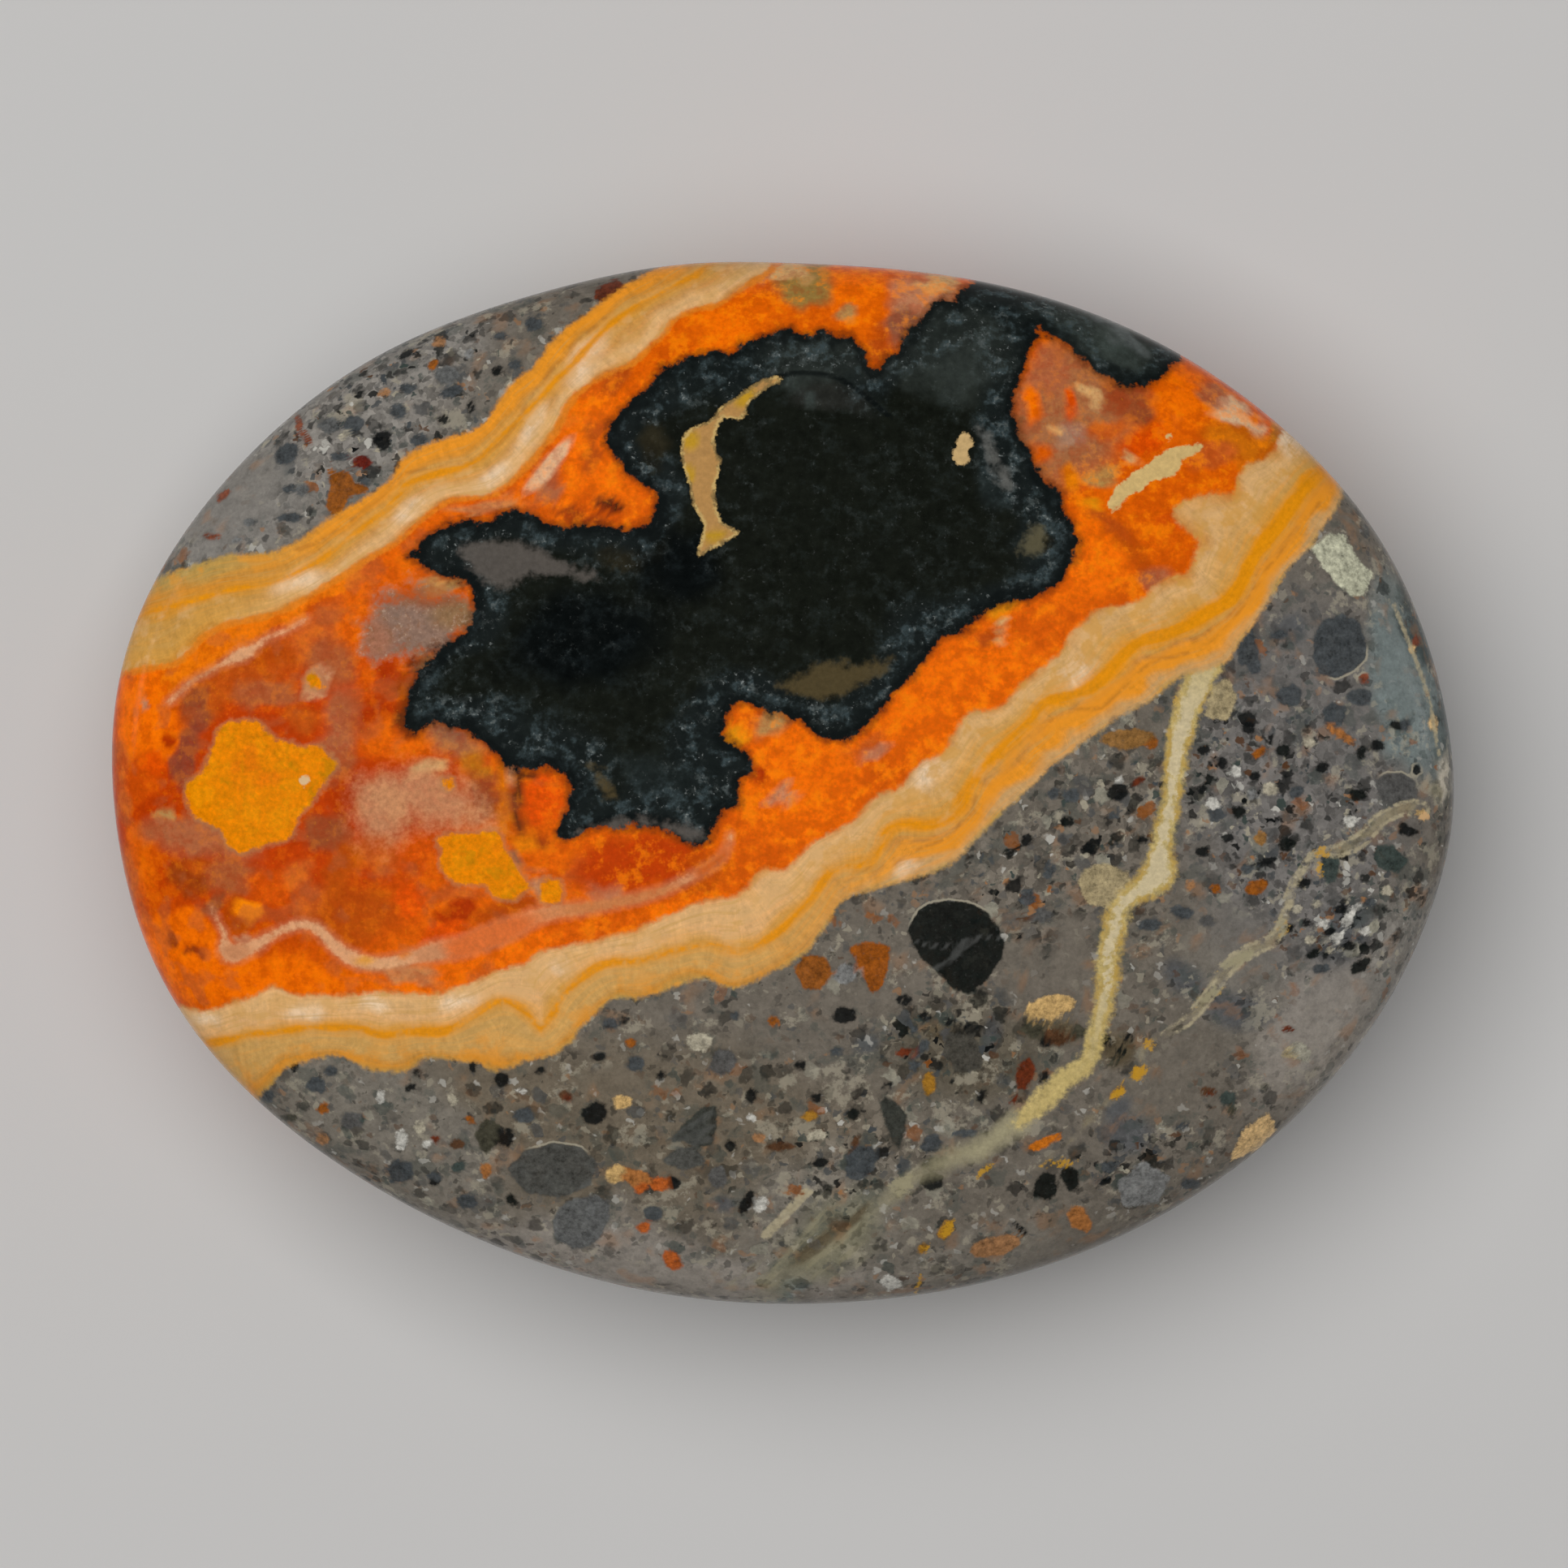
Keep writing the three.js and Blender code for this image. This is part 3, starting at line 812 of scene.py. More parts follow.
def crystals(size, length, breadth, share, seed):
    """Where crystals of this spacing are, from 0 to 1, and random numbers for each"""
    place = moved(bent, (seed, seed * 2.3, seed * 5.1))
    settings = {"voronoi_dimensions": "3D", "feature": "F1"}
    cell = Wire.node("ShaderNodeTexVoronoi", settings, {"Vector": place, "Scale": 1 / size}, "Color")
    middle = cell.also("Position")
    offset = vector_maths("SUBTRACT", place, middle)
    axis = vector_maths("NORMALIZE", vector_maths("SUBTRACT", cell, MIDDLE_OF_NOISE))
    along = vector_maths("DOT_PRODUCT", offset, axis, output="Value")
    away = vector_maths("DOT_PRODUCT", offset, offset, output="Value")
    beside = (away - along * along).largest(0.0).maths("SQRT")
    parts = Wire.node("ShaderNodeSeparateColor", {}, {"Color": cell}, "Red")
    spread = 0.5 + parts.also("Blue") * 1.0
    extent = (along.maths("ABSOLUTE") / (spread * length)).largest(beside / (spread * breadth))
    chosen = parts.also("Green").maths("LESS_THAN", share)
    strength = 0.45 + (parts.also("Green") * 13.0).maths("FRACT") * 0.55
    edge = 1 - extent.over(0.7, 1.15)
    return edge * chosen * strength, parts


def crystal_paint(random_number, stops):
    """The colour of a crystal, from its random number: each stop is where its colour begins"""
    named = [(begins, colour_of(name, ROCK)) for begins, name in stops]
    return Wire.node("ShaderNodeValToRGB", {"stops": named}, {"Fac": random_number}, "Color")


def pebble(size, seed):
    """A random number for each of the grains that the rock is packed with"""
    sockets = {"Vector": moved(bent, (seed, seed, seed)), "Scale": 1 / size}
    grain = Wire.node("ShaderNodeTexVoronoi", {"feature": "F1"}, sockets, "Color")
    return Wire.node("ShaderNodeSeparateColor", {}, {"Color": grain}, "Red")


bare = 1 - kept("mud") * 0.93
crowd = kept("crowd")
rock = kept("rock_paint", "Color")
packed = (pebble(0.34, 9.0) - 0.5) * bare * (0.16 + crowd * 0.44)
rock = brightened(rock, 0.16 + flames * 0.6 + tufts * 0.4 + grit * 0.36 + packed)
rock = laid(rock, colour_of("rusty", ROCK), drift.over(0.8, 2.4) * 0.35)
rock = laid(rock, colour_of("teal", ROCK), (drift_two + (tufts - 0.5) * 5.0).over(0.7, 1.8) * bare * 0.4)
rock = laid(rock, colour_of("pale", ROCK), (drift_three + (tufts - 0.5) * 6.0).over(1.0, 2.2) * bare * 0.5)
small, small_numbers = crystals(0.44, 0.22, 0.14, 0.66, 2.0)
small_paint = crystal_paint(small_numbers, (
    (0.0, "black"), (0.3, "slate"), (0.44, "teal"), (0.56, "grey"), (0.66, "pale"), (0.76, "white"),
    (0.85, "brown"), (0.93, "rusty"),
))
rock = laid(rock, small_paint, small * (0.16 + bare * (0.4 + crowd * 0.44)))
large, large_numbers = crystals(0.94, 0.44, 0.3, 0.5 + crowd * 0.34, 5.0)
large_paint = crystal_paint(large_numbers, (
    (0.0, "black"), (0.34, "green black"), (0.56, "slate"), (0.68, "teal"), (0.78, "grey"), (0.87, "tuff"),
    (0.94, "rust"),
))
large_paint = brightened(large_paint, 0.14 + tufts * 1.6)
rock = laid(rock, large_paint, large * bare * (0.7 + crowd * 0.3))
chip = kept("chip") + (tufts - 0.5) * 0.4
chip_colour = brightened(kept("chip_paint", "Color"), (tufts * 2.0 + grit * 1.1 - 0.6).largest(0.25))
chip_colour = laid(chip_colour, colour_of("grey", ROCK), (specks - 0.02).over(0.58, 0.72) * 0.2)
crack = (kept("crack") + (tufts - 0.5) * 0.2).over(0.0, 0.2)
chip_colour = laid(chip_colour, colour_of("pale grey", ROCK), crack * 0.34)
rock = laid(rock, brightened(rock, 0.75), chip.over(-0.2, 0.0) * 0.4)
rock = laid(rock, chip_colour, chip.over(-0.09, 0.07) * 0.95)
ring = 1 - (kept("chip") + 0.06 + (grit - 0.5) * 0.1).maths("ABSOLUTE").over(0.02, 0.08)
rock = laid(rock, colour_of("pale", ROCK), ring * kept("halo") * 0.75)


# Thin veins of cream calcite that cut through the grey rock from the lower border of the orange vein.
# They filled narrow cracks, and the clearest one runs down the right of the face and fades out. A thin
# pale line along the rounded right edge is drawn with their pale lines, as a painted highlight.
VEINLET = {
    "edge": (188, 152, 70),
    "core": (206, 190, 154),
    "body": (196, 174, 112),
    "faint": (152, 140, 110),
    "faded": (160, 152, 122),
    "rail": (176, 164, 134),
    "peach": (222, 176, 122),
    "spot": (200, 150, 40),
}
LONG_VEINLET = (
    (20.9, 6), (20.8, 5.6), (20.2, 4.3), (19.6, 2.6), (19.3, 1), (19, -0.8), (18.8, -2.6), (18.6, -4),
    (18.3, -4.8), (17.2, -5.6), (16.6, -6.3), (16.2, -7.4), (15.9, -9), (15.7, -10.6), (15.4, -12),
    (15.1, -13.4), (14.4, -14.2), (13.3, -15.2), (12, -16.3), (11.2, -17),
)
FADING_VEINLET = (
    (12.6, -15.8), (11.4, -16.8), (10.2, -17.8), (9.2, -18.2), (8, -18.6), (6.4, -19.4), (5.6, -20.2),
    (3.8, -21.8), (1.4, -23.6), (-0.6, -24.8),
)
FAINT_VEINLET = (
    (31.4, -1.4), (30.5, -1.4), (29.3, -2), (28.6, -2.8), (27.4, -3.4), (26, -3.6), (25.2, -4.8),
    (24.8, -6.3), (24, -7.8), (22.3, -8.7), (21.3, -9.8), (20.6, -11), (19.3, -12.1), (17.8, -13),
    (17.5, -14.2), (16.5, -15.2), (15.4, -16.1), (13.9, -17.6), (12.6, -19),
)
SHORT_STREAK = ((-0.9, -22.3), (-0.2, -21.6), (0.5, -20.8), (1.2, -20.1))
SHORT_STREAK_HALF_WIDTH = 0.24
# A painted highlight: a thin pale line just inside the rounded right edge, drawn with the pale lines
RIM_HIGHLIGHT_HALF_WIDTH = 0.1
RIM_HIGHLIGHT_LINE = ((30.1, 8.8), (30.4, 8.0), (31.0, 6.5), (31.5, 5.1), (31.8, 4.1), (32.0, 3.1), (32.3, 1.4))

veinlet_places = drawn + crinkle * 0.5
gap, along = nearest(smooth(LONG_VEINLET), veinlet_places)
LONG_WIDTHS = (
    (0, 0.7), (2, 0.72), (3.6, 0.62), (5, 0.5), (8, 0.5), (10, 0.62), (11, 0.74), (12.2, 0.5), (14, 0.5),
    (17, 0.48), (19, 0.4), (21, 0.36), (22.6, 0.44), (24, 0.5), (25.2, 0.3), (26, 0),
)
long_width = np.interp(along, *zip(*LONG_WIDTHS))
keep("veinlet_fullness", np.interp(along, (0, 1.5, 3, 17, 19.5, 22), (0.3, 0.7, 1, 1, 0.3, 0)))
veinlet = long_width - gap
gap, along = nearest(smooth(FADING_VEINLET), veinlet_places)
fading_width = np.interp(along, (0, 1.5, 4, 6, 8, 16), (0.2, 0.55, 0.6, 0.5, 0.45, 0.7))
fading_strength = np.interp(along, (0, 1.5, 4, 6.5, 8, 9.5, 18), (0, 1, 0.95, 0.6, 0.8, 0.24, 0.12))
keep("veinlet_fading", fading_width - gap)
keep("fading_strength", fading_strength)
gap, along = nearest(smooth(FAINT_VEINLET), veinlet_places)
faint_width = np.interp(along, (0, 4, 6, 9, 12, 16, 20, 28), (0.3, 0.3, 0.1, 0.14, 0.28, 0.24, 0.16, 0.1))
faint = faint_width - gap
rails = np.interp(along, (17, 20), (0.1, -0.2)) - np.abs(gap - faint_width)
gap, _ = nearest(smooth(SHORT_STREAK), drawn)
rails = np.maximum(rails, SHORT_STREAK_HALF_WIDTH - gap)
# The painted highlight along the right edge joins the pale lines
gap, _ = nearest(smooth(RIM_HIGHLIGHT_LINE), drawn)
keep("rails", np.maximum(rails, RIM_HIGHLIGHT_HALF_WIDTH - gap - below))
keep("veinlet", veinlet)
STREAKY = ((1.6, -22.6, 7.0, 3.4, 40), (-1.5, -24.0, 5.0, 1.6, 10))
keep("streaky", ovals(STREAKY, drawn + crinkle * 2, 0.5, 1.3))
VEIN_SPOTS = (
    ("spot", (
        (26.5, -3.5, 0.8, 0.7, 0), (26.3, -4.3, 0.4, 0.7, 0), (18, -12.9, 0.7, 0.6, 30),
        (17.5, -14.2, 0.9, 0.7, 45), (16.6, -15.1, 0.8, 0.5, 45), (18.5, -4.6, 0.9, 0.6, 0),
        (19.4, 4, 0.5, 0.9, 0), (10, -19.1, 0.9, 0.4, 30), (8.1, -21.9, 0.9, 0.5, 40),
        (7.1, -22.9, 0.5, 0.5, 0), (6.6, -24.6, 0.3, 1.2, 0), (13.6, -18.8, 1.8, 0.3, 8),
        (8, -1.8, 0.3, 0.3, 0),
    )),
    ("peach", ((17.2, -5.6, 1.3, 0.5, 48), (31.5, -1.65, 0.6, 0.4, 10), (19.6, 2.4, 0.8, 0.9, 0))),
    ("faded", (
        (5.9, -19.8, 1.3, 1, 30), (22.4, -8.7, 1.8, 0.6, 25), (21, -10.4, 1.4, 0.6, 50),
        (24.6, -7, 0.5, 1, 0),
    )),
)
vein_spots = np.zeros(len(places))
vein_spot_paint = plain_coat(VEINLET["spot"])
for name, shapes in VEIN_SPOTS:
    share = ovals(shapes, drawn + crinkle * 0.5, 0.4, 1.5)
    vein_spots = np.maximum(vein_spots, share)
    vein_spot_paint += (share > 0.02)[:, None] * (light_of(VEINLET[name]) - vein_spot_paint)
keep("vein_spot", vein_spots)
keep("vein_spot_paint", vein_spot_paint)
keep("veinlet_faint", faint)

rough_edge = (flames - 0.5) * 0.6
vein_depth = kept("veinlet") + rough_edge
fading_share = (kept("veinlet_fading") + rough_edge * 1.3).over(-0.3, 0.5) * kept("fading_strength")
rock = laid(rock, brightened(colour_of("faded", VEINLET), 0.5 + tufts * 0.6 + grit * 0.4), fading_share)
wisps = drift.over(-1.2, 0.6)
faint_share = (kept("veinlet_faint") + rough_edge * 1.5).over(-0.16, 0.3) * (0.12 + wisps * 0.58)
rock = laid(rock, brightened(colour_of("faint", VEINLET), 0.3 + tufts * 0.8 + grit * 0.6), faint_share)
# The pale lines, with the painted highlight along the right edge among them
rail_and_highlight_share = (kept("rails") + (powder - 0.5) * 0.2).over(-0.06, 0.08) * flames.over(0.36, 0.5)
rock = laid(rock, brightened(colour_of("rail", VEINLET), 0.6 + powder * 0.8), rail_and_highlight_share * 0.8)
vein_spot = kept("vein_spot")
spot_share = (vein_spot + (tufts - 0.5) * 2.4 + (powder - 0.5) * 1.6).over(0.3, 0.9)
spot_share *= vein_spot.over(0.0, 0.2)
rock = laid(rock, kept("vein_spot_paint", "Color"), spot_share * 0.75)
vein_body = brightened(colour_of("body", VEINLET), 0.2 + powder * 0.9 + tufts * 0.7)
fullness = kept("veinlet_fullness")
golden = (1 - (vein_depth - 0.16).over(0.0, 0.2)) * fullness * flames.over(0.38, 0.6)
vein_body = laid(vein_body, colour_of("edge", VEINLET), golden * 0.8)
rock = laid(rock, vein_body, (vein_depth + (powder - 0.5) * 0.5).over(-0.26, 0.16) * 0.92)
core_share = (vein_depth + (tufts - 0.5) * 0.8).over(0.16, 0.36) * fullness
rock = laid(rock, brightened(colour_of("core", VEINLET), 0.7 + powder * 0.6), core_share * 0.9)

# Fine slanting streaks of calcite where the long veinlet fades out
STREAK_TURN = math.radians(44)
STREAK_SIZES = (5.0, 0.42, 1.0)
slant = Wire.node(
    "ShaderNodeMapping",
    {"vector_type": "TEXTURE"},
    {0: spot, "Rotation": (0.0, 0.0, STREAK_TURN), "Scale": STREAK_SIZES},
)
streaks = cloudy(1.0, 2.0, 0.6, slant)
rock = laid(rock, colour_of("faded", VEINLET), streaks.over(0.46, 0.7) * kept("streaky") * 0.5)


# The borders of the orange vein. Calcite grew inwards from both walls of the crack in thin layers: gold
# and tan on the grey rock, then a thin gold line, then pale cream up to the orange.
BORDER = {
    "outer gold": (206, 138, 52),
    "tan gold": (206, 160, 92),
    "bright gold": (236, 150, 40),
    "tan": (200, 150, 76),
    "pale tan": (210, 162, 88),
    "line": (228, 144, 14),
    "upper line": (204, 140, 48),
    "cream": (216, 166, 100),
    "rosy cream": (230, 178, 120),
    "warm cream": (208, 148, 80),
    "gold cream": (210, 154, 72),
    "inner": (206, 124, 52),
    "pale": (222, 176, 118),
    "edge gold": (182, 150, 82),
    "edge tan": (204, 160, 104),
    "seam tan": (196, 130, 60),
    "white": (236, 204, 166),
    "seam": (150, 90, 40),
    "thread": (224, 128, 32),
}
UPPER_WALL = (
    (-60, 2), (-36, 8.5), (-30.2, 10.3), (-28.5, 10.9), (-27, 11.3), (-25.5, 11.3), (-24, 11.9),
    (-22.7, 12.8), (-21.5, 13.6), (-20.3, 14.3), (-19.4, 15), (-18.8, 16), (-18.2, 16.4), (-17, 16.9),
    (-16, 17.2), (-15, 17.6), (-14.2, 18.5), (-13.6, 19.5), (-12.5, 20.3), (-12, 20.9), (-11.4, 21.7),
    (-10.6, 22.5), (-9.6, 23.2), (-8.6, 23.9), (-7.9, 24.4), (-7, 25), (-6.2, 25.4), (-5, 26.2), (0, 30),
    (14, 44),
)
UPPER_LINE = (
    (-60, 0), (-36, 7), (-32, 8.2), (-29, 9), (-27, 9.6), (-25, 9.9), (-23, 10.9), (-21, 12.5),
    (-19.5, 13.6), (-18.5, 14.8), (-17, 15.3), (-15.5, 15.8), (-14.5, 16.6), (-13.6, 17.4), (-12.6, 18.3),
    (-12, 18.9), (-11, 20), (-10, 21), (-8.5, 22.6), (-7, 23.6), (-5.8, 24.3), (-4.5, 25), (-3.8, 25.5),
    (1, 29.5), (16, 44),
)
UPPER_INNER = (
    (-60, -3), (-37, 4.5), (-32.5, 5.5), (-31, 5.7), (-30, 5.9), (-29.2, 6.6), (-28.6, 7.3), (-27.5, 7.9),
    (-26, 8.2), (-25, 8.5), (-24, 9), (-23, 9.6), (-22, 10.2), (-21, 10.8), (-20, 11.4), (-19, 12),
    (-18.2, 12.8), (-17.4, 13.5), (-16.6, 14), (-15.5, 14.2), (-14.5, 14.3), (-13.6, 14.8), (-13, 15.4),
    (-12.4, 16), (-11.4, 17.2), (-11, 18), (-10.4, 19), (-9.6, 19.7), (-8.6, 20.3), (-7.6, 20.7),
    (-6.8, 21.4), (-6, 22.2), (-5.2, 23), (-4.2, 23.5), (-3.2, 23.7), (-1.8, 24.6), (-0.8, 25.2), (0, 26),
    (5, 30), (20, 44),
)
LOWER_WALL = (
    (-50, -28), (-29, -17.5), (-25.6, -15.2), (-25, -14.6), (-24.4, -14), (-23.2, -13.6), (-22.2, -13.4),
    (-21.5, -13.6), (-20.5, -14.1), (-19.5, -14.2), (-18.6, -14.1), (-17.8, -13.6), (-17, -13.5),
    (-16, -13.7), (-15, -13.8), (-14.4, -14.2), (-13.4, -14), (-12.6, -13.7), (-11.6, -13.5), (-11, -13.2),
    (-10.4, -12.7), (-10, -12), (-9.3, -11.4), (-8.8, -10.9), (-8.2, -10.6), (-7.2, -10.6), (-6.3, -10.4),
    (-5.6, -10.1), (-4.6, -9.7), (-3.8, -9.6), (-3.2, -9.9), (-2.5, -10.1), (-1.9, -10), (-1.2, -9.7),
    (-0.6, -9.3), (0, -9), (0.6, -8.7), (1.2, -8.3), (1.8, -7.5), (2.3, -6.8), (2.7, -6), (3.3, -5.5),
    (4.2, -5.3), (5, -5.1), (5.8, -4.8), (6.6, -4.7), (7.2, -4.5), (8, -4.1), (8.8, -3.6), (9.2, -3.2),
    (10, -2.3), (10.8, -1.4), (11.4, -0.9), (12.2, -0.2), (12.8, 0.4), (13.2, 0.9), (14, 1.4), (14.6, 2),
    (15.4, 2.5), (16, 3), (17, 3.6), (18, 4.1), (18.8, 4.7), (19.6, 5.3), (20.6, 5.5), (21.4, 5.8),
    (22, 6.1), (22.4, 6.8), (23, 7.6), (23.6, 8.5), (24.2, 9.5), (24.6, 10.2), (25.2, 11), (25.9, 11.6),
    (26.3, 12.3), (26.8, 13.1), (27.3, 13.6), (27.6, 14.2), (28, 14.8), (33, 19), (50, 32),
)
LOWER_LINE = (
    (-55, -20), (-31.5, -13.8), (-28.4, -12.9), (-27.5, -12.6), (-26.5, -12.4), (-25, -12.3), (-24, -12.15),
    (-23, -12), (-22, -12.1), (-21, -12.05), (-20.4, -12.3), (-19.8, -12.45), (-19, -12.3), (-18, -12.2),
    (-17, -12.15), (-16.2, -12), (-15.5, -11.6), (-14.8, -11.1), (-14.2, -10.8), (-13.5, -10.8),
    (-12.9, -11.1), (-12.4, -11.6), (-12, -12.1), (-11.6, -11.6), (-11.3, -11.2), (-10.9, -10.5),
    (-10.3, -9.9), (-9.8, -9.5), (-9, -9), (-8, -8.8), (-7.2, -8.8), (-6.4, -8.6), (-5.6, -8.3),
    (-4.6, -8.1), (-3.8, -8), (-3, -8.2), (-2.2, -8.3), (-1.4, -8.1), (-0.7, -7.7), (0, -7.2), (0.7, -6.5),
    (1.3, -5.8), (1.8, -5.1), (2.2, -4.5), (2.8, -4.1), (3.6, -4.1), (4.3, -3.9), (4.7, -3.3), (5, -2.5),
    (5.5, -2.05), (6.2, -2), (7, -2.15), (7.7, -2.1), (8.4, -1.7), (8.9, -1.1), (9.3, -0.4), (9.7, 0.5),
    (10.2, 1.2), (11, 2), (12, 3), (12.6, 3.8), (13.2, 4.2), (14.5, 4.5), (15.5, 5), (16.2, 5.8), (17, 6.6),
    (17.8, 7.1), (19, 7.4), (20, 7.9), (21, 8.5), (22, 9.1), (22.8, 10.5), (23.4, 11.5), (24, 12.2),
    (24.6, 13), (25.2, 13.9), (25.8, 14.7), (26.4, 15.2), (31.5, 19.5), (50, 34),
)
LOWER_STREAK = (
    (2, -5.6), (3.4, -4.9), (5, -4.2), (6.6, -3.6), (8, -3.1), (9.2, -2.2), (10.2, -0.8), (11, 0.8),
    (12, 2.2), (14, 3.2), (15.5, 4), (17, 5.2), (19, 6.2), (21, 7.1), (23, 8.8), (24.3, 11.3), (25.4, 13),
    (26.6, 14.5), (31, 18.5),
)
# A thin dark seam between two of the layers of each border
SEAM = (
    (2.6, -5), (4, -4.25), (5.2, -4.1), (6.6, -3.3), (8.2, -2.6), (9.3, -1.2), (10.1, 0.45), (11.4, 1.7),
    (12.8, 2.9), (14, 3.6), (15.4, 3.7), (16.2, 4.3), (17.2, 5.3), (18.3, 6), (19.9, 6.5), (21.5, 7.4),
    (22.6, 8.7), (23.8, 10.6), (25, 12.2), (26.4, 13.9),
)
UPPER_SEAM = (
    (-24, 11.4), (-22.6, 12.1), (-20.8, 13.4), (-19.6, 14.4), (-18.9, 15.2), (-18.1, 15.4), (-17, 15.7),
    (-15.7, 15.9), (-14.8, 16.3), (-14, 16.7), (-13.4, 17.4), (-12.8, 18.4), (-12, 19.6), (-11, 20.8),
    (-10, 21.9), (-8.8, 22.9),
)
LOWER_INNER = (
    (-55, -16), (-33, -11.5), (-29.2, -11.1), (-28.8, -11.3), (-28, -11.1), (-27, -10.7), (-26, -10.5),
    (-25.2, -10), (-24.8, -10.1), (-24, -10.4), (-23, -10.5), (-22, -10.5), (-21, -10.5), (-20, -10.35),
    (-19, -10.3), (-18, -10.4), (-17.2, -10.35), (-16.5, -10.2), (-16, -10), (-15.3, -9.9), (-14.8, -9.6),
    (-14.2, -9.3), (-13.4, -9.1), (-12.8, -9), (-12, -8.3), (-11, -8.1), (-10, -7.9), (-9, -7.7),
    (-8, -7.5), (-7, -7.1), (-6, -6.7), (-5, -6.2), (-4, -5.9), (-3, -5.8), (-2.2, -5.6), (-1.6, -5),
    (-1.2, -4.4), (-0.6, -4.3), (0, -4.4), (0.6, -3.9), (1.2, -3.2), (2, -2.7), (3, -2.2), (3.6, -1.8),
    (4.2, -1), (4.8, -0.5), (5.6, -0.3), (6.2, 0.3), (6.8, 0.9), (7.6, 1.2), (8.1, 1.8), (8.5, 2.6),
    (8.9, 3.3), (9.4, 3.6), (10, 3.6), (10.6, 3.8), (11.2, 4.3), (12, 5.2), (12.8, 5.8), (13.6, 6.4),
    (14, 7), (14.6, 7.7), (15.2, 8.3), (15.8, 8.6), (16.6, 8.7), (17.9, 9.2), (18.2, 9.7), (19, 10.2),
    (20, 10.5), (20.3, 11.4), (20.5, 12), (19.8, 12.6), (19.3, 13.2), (19.6, 13.8), (20.4, 14.1),
    (21.4, 14.2), (22.2, 14.3), (22.4, 15), (22.9, 15.7), (23.6, 15.9), (24.2, 16.5), (24.6, 17.2),
    (25.2, 17.8), (29, 21), (46, 36),
)
BELOW_THE_UPPER = ((80, 80), (80, -80), (-80, -80))
ABOVE_THE_LOWER = ((50, 80), (-80, 80), (-80, -30))

border_places = drawn + crinkle * 0.2


def side_of(line, far_corners):
    """Millimetres from the line, less than nothing on the grey side of it, and the way along it"""
    fine = smooth(line)
    distance, along = nearest(fine, border_places)
    inside = within(np.vstack([fine, far_corners]), border_places)
    return np.where(inside, distance, -distance), along


def layers(wall, line, inner, far_corners):
    """0 at the wall, 1 at the gold line and 2 at the inner edge, in proportion between them"""
    from_wall, _ = side_of(wall, far_corners)
    from_line, along = side_of(line, far_corners)
    from_inner, _ = side_of(inner, far_corners)
    outer_zone = from_wall / np.maximum(from_wall - np.minimum(from_line, -1e-3), 1e-3)
    inner_zone = 1 + from_line / np.maximum(from_line - np.minimum(from_inner, -1e-3), 1e-3)
    layer = np.where(from_line < 0, outer_zone, inner_zone)
    layer = np.where(from_inner > 0, 2 + from_inner, layer)
    return np.where(from_wall < 0, from_wall, layer), from_line, along, from_wall, from_inner


upper_layer, upper_line, upper_along, upper_wall, upper_inner = layers(
    UPPER_WALL, UPPER_LINE, UPPER_INNER, BELOW_THE_UPPER
)
lower_layer, lower_line, lower_along, lower_wall, lower_inner = layers(
    LOWER_WALL, LOWER_LINE, LOWER_INNER, ABOVE_THE_LOWER
)
is_lower = lower_layer < upper_layer
layer_number = np.where(is_lower, lower_layer, upper_layer)
# The fibres of the upper border are taken from another stretch of the noise than those of the lower one
UPPER_START = 200
along_border = np.where(is_lower, lower_along, upper_along + UPPER_START)
keep("from_wall", np.where(is_lower, lower_wall, upper_wall))
keep("from_inner", np.where(is_lower, lower_inner, upper_inner))
blotch = wandering(1.3, 20.0)
rightness = eased(drawn[:, 0], -3.0, 9.0)
is_left = 1 - eased(drawn[:, 0], -29.0, -21.0)


def striped(at, stops, colours):
    """The colour at each layer, from stops of a layer and a colour's name"""
    levels = [stop for stop, _ in stops]
    lights = np.array([light_of(colours[name]) for _, name in stops])
    return np.column_stack([np.interp(at, levels, lights[:, k]) for k in range(3)])


uneven = layer_number + blotch[:, 0] * 0.22
lower_left = striped(uneven, (
    (-0.1, "edge gold"), (0.15, "outer gold"), (0.35, "tan gold"), (0.85, "tan gold"), (1.08, "gold cream"),
    (1.3, "rosy cream"), (1.75, "pale"), (1.95, "rosy cream"), (2.1, "inner"),
), BORDER)
lower_right = striped(uneven, (
    (-0.1, "edge gold"), (0.06, "edge tan"), (0.22, "edge tan"), (0.34, "bright gold"), (0.58, "bright gold"),
    (0.68, "seam tan"), (0.8, "gold cream"), (0.92, "line"), (1.06, "line"), (1.2, "gold cream"),
    (1.5, "cream"), (1.8, "pale"), (1.97, "warm cream"), (2.1, "inner"),
), BORDER)
upper = striped(uneven, (
    (-0.1, "outer gold"), (0.2, "bright gold"), (0.42, "bright gold"), (0.6, "outer gold"),
    (0.84, "pale tan"), (1.0, "upper line"), (1.14, "gold cream"), (1.4, "warm cream"), (1.7, "pale"),
    (1.88, "rosy cream"), (2.0, "warm cream"), (2.1, "inner"),
), BORDER)
upper_left_end = striped(uneven, (
    (-0.1, "edge gold"), (0.3, "edge gold"), (0.7, "outer gold"), (1.0, "upper line"), (1.3, "tan"),
    (1.8, "gold cream"), (2.0, "outer gold"),
), BORDER)
lower = lower_left + rightness[:, None] * (lower_right - lower_left)
upper = upper + is_left[:, None] * (upper_left_end - upper)
border_paint = np.where(is_lower[:, None], lower, upper)
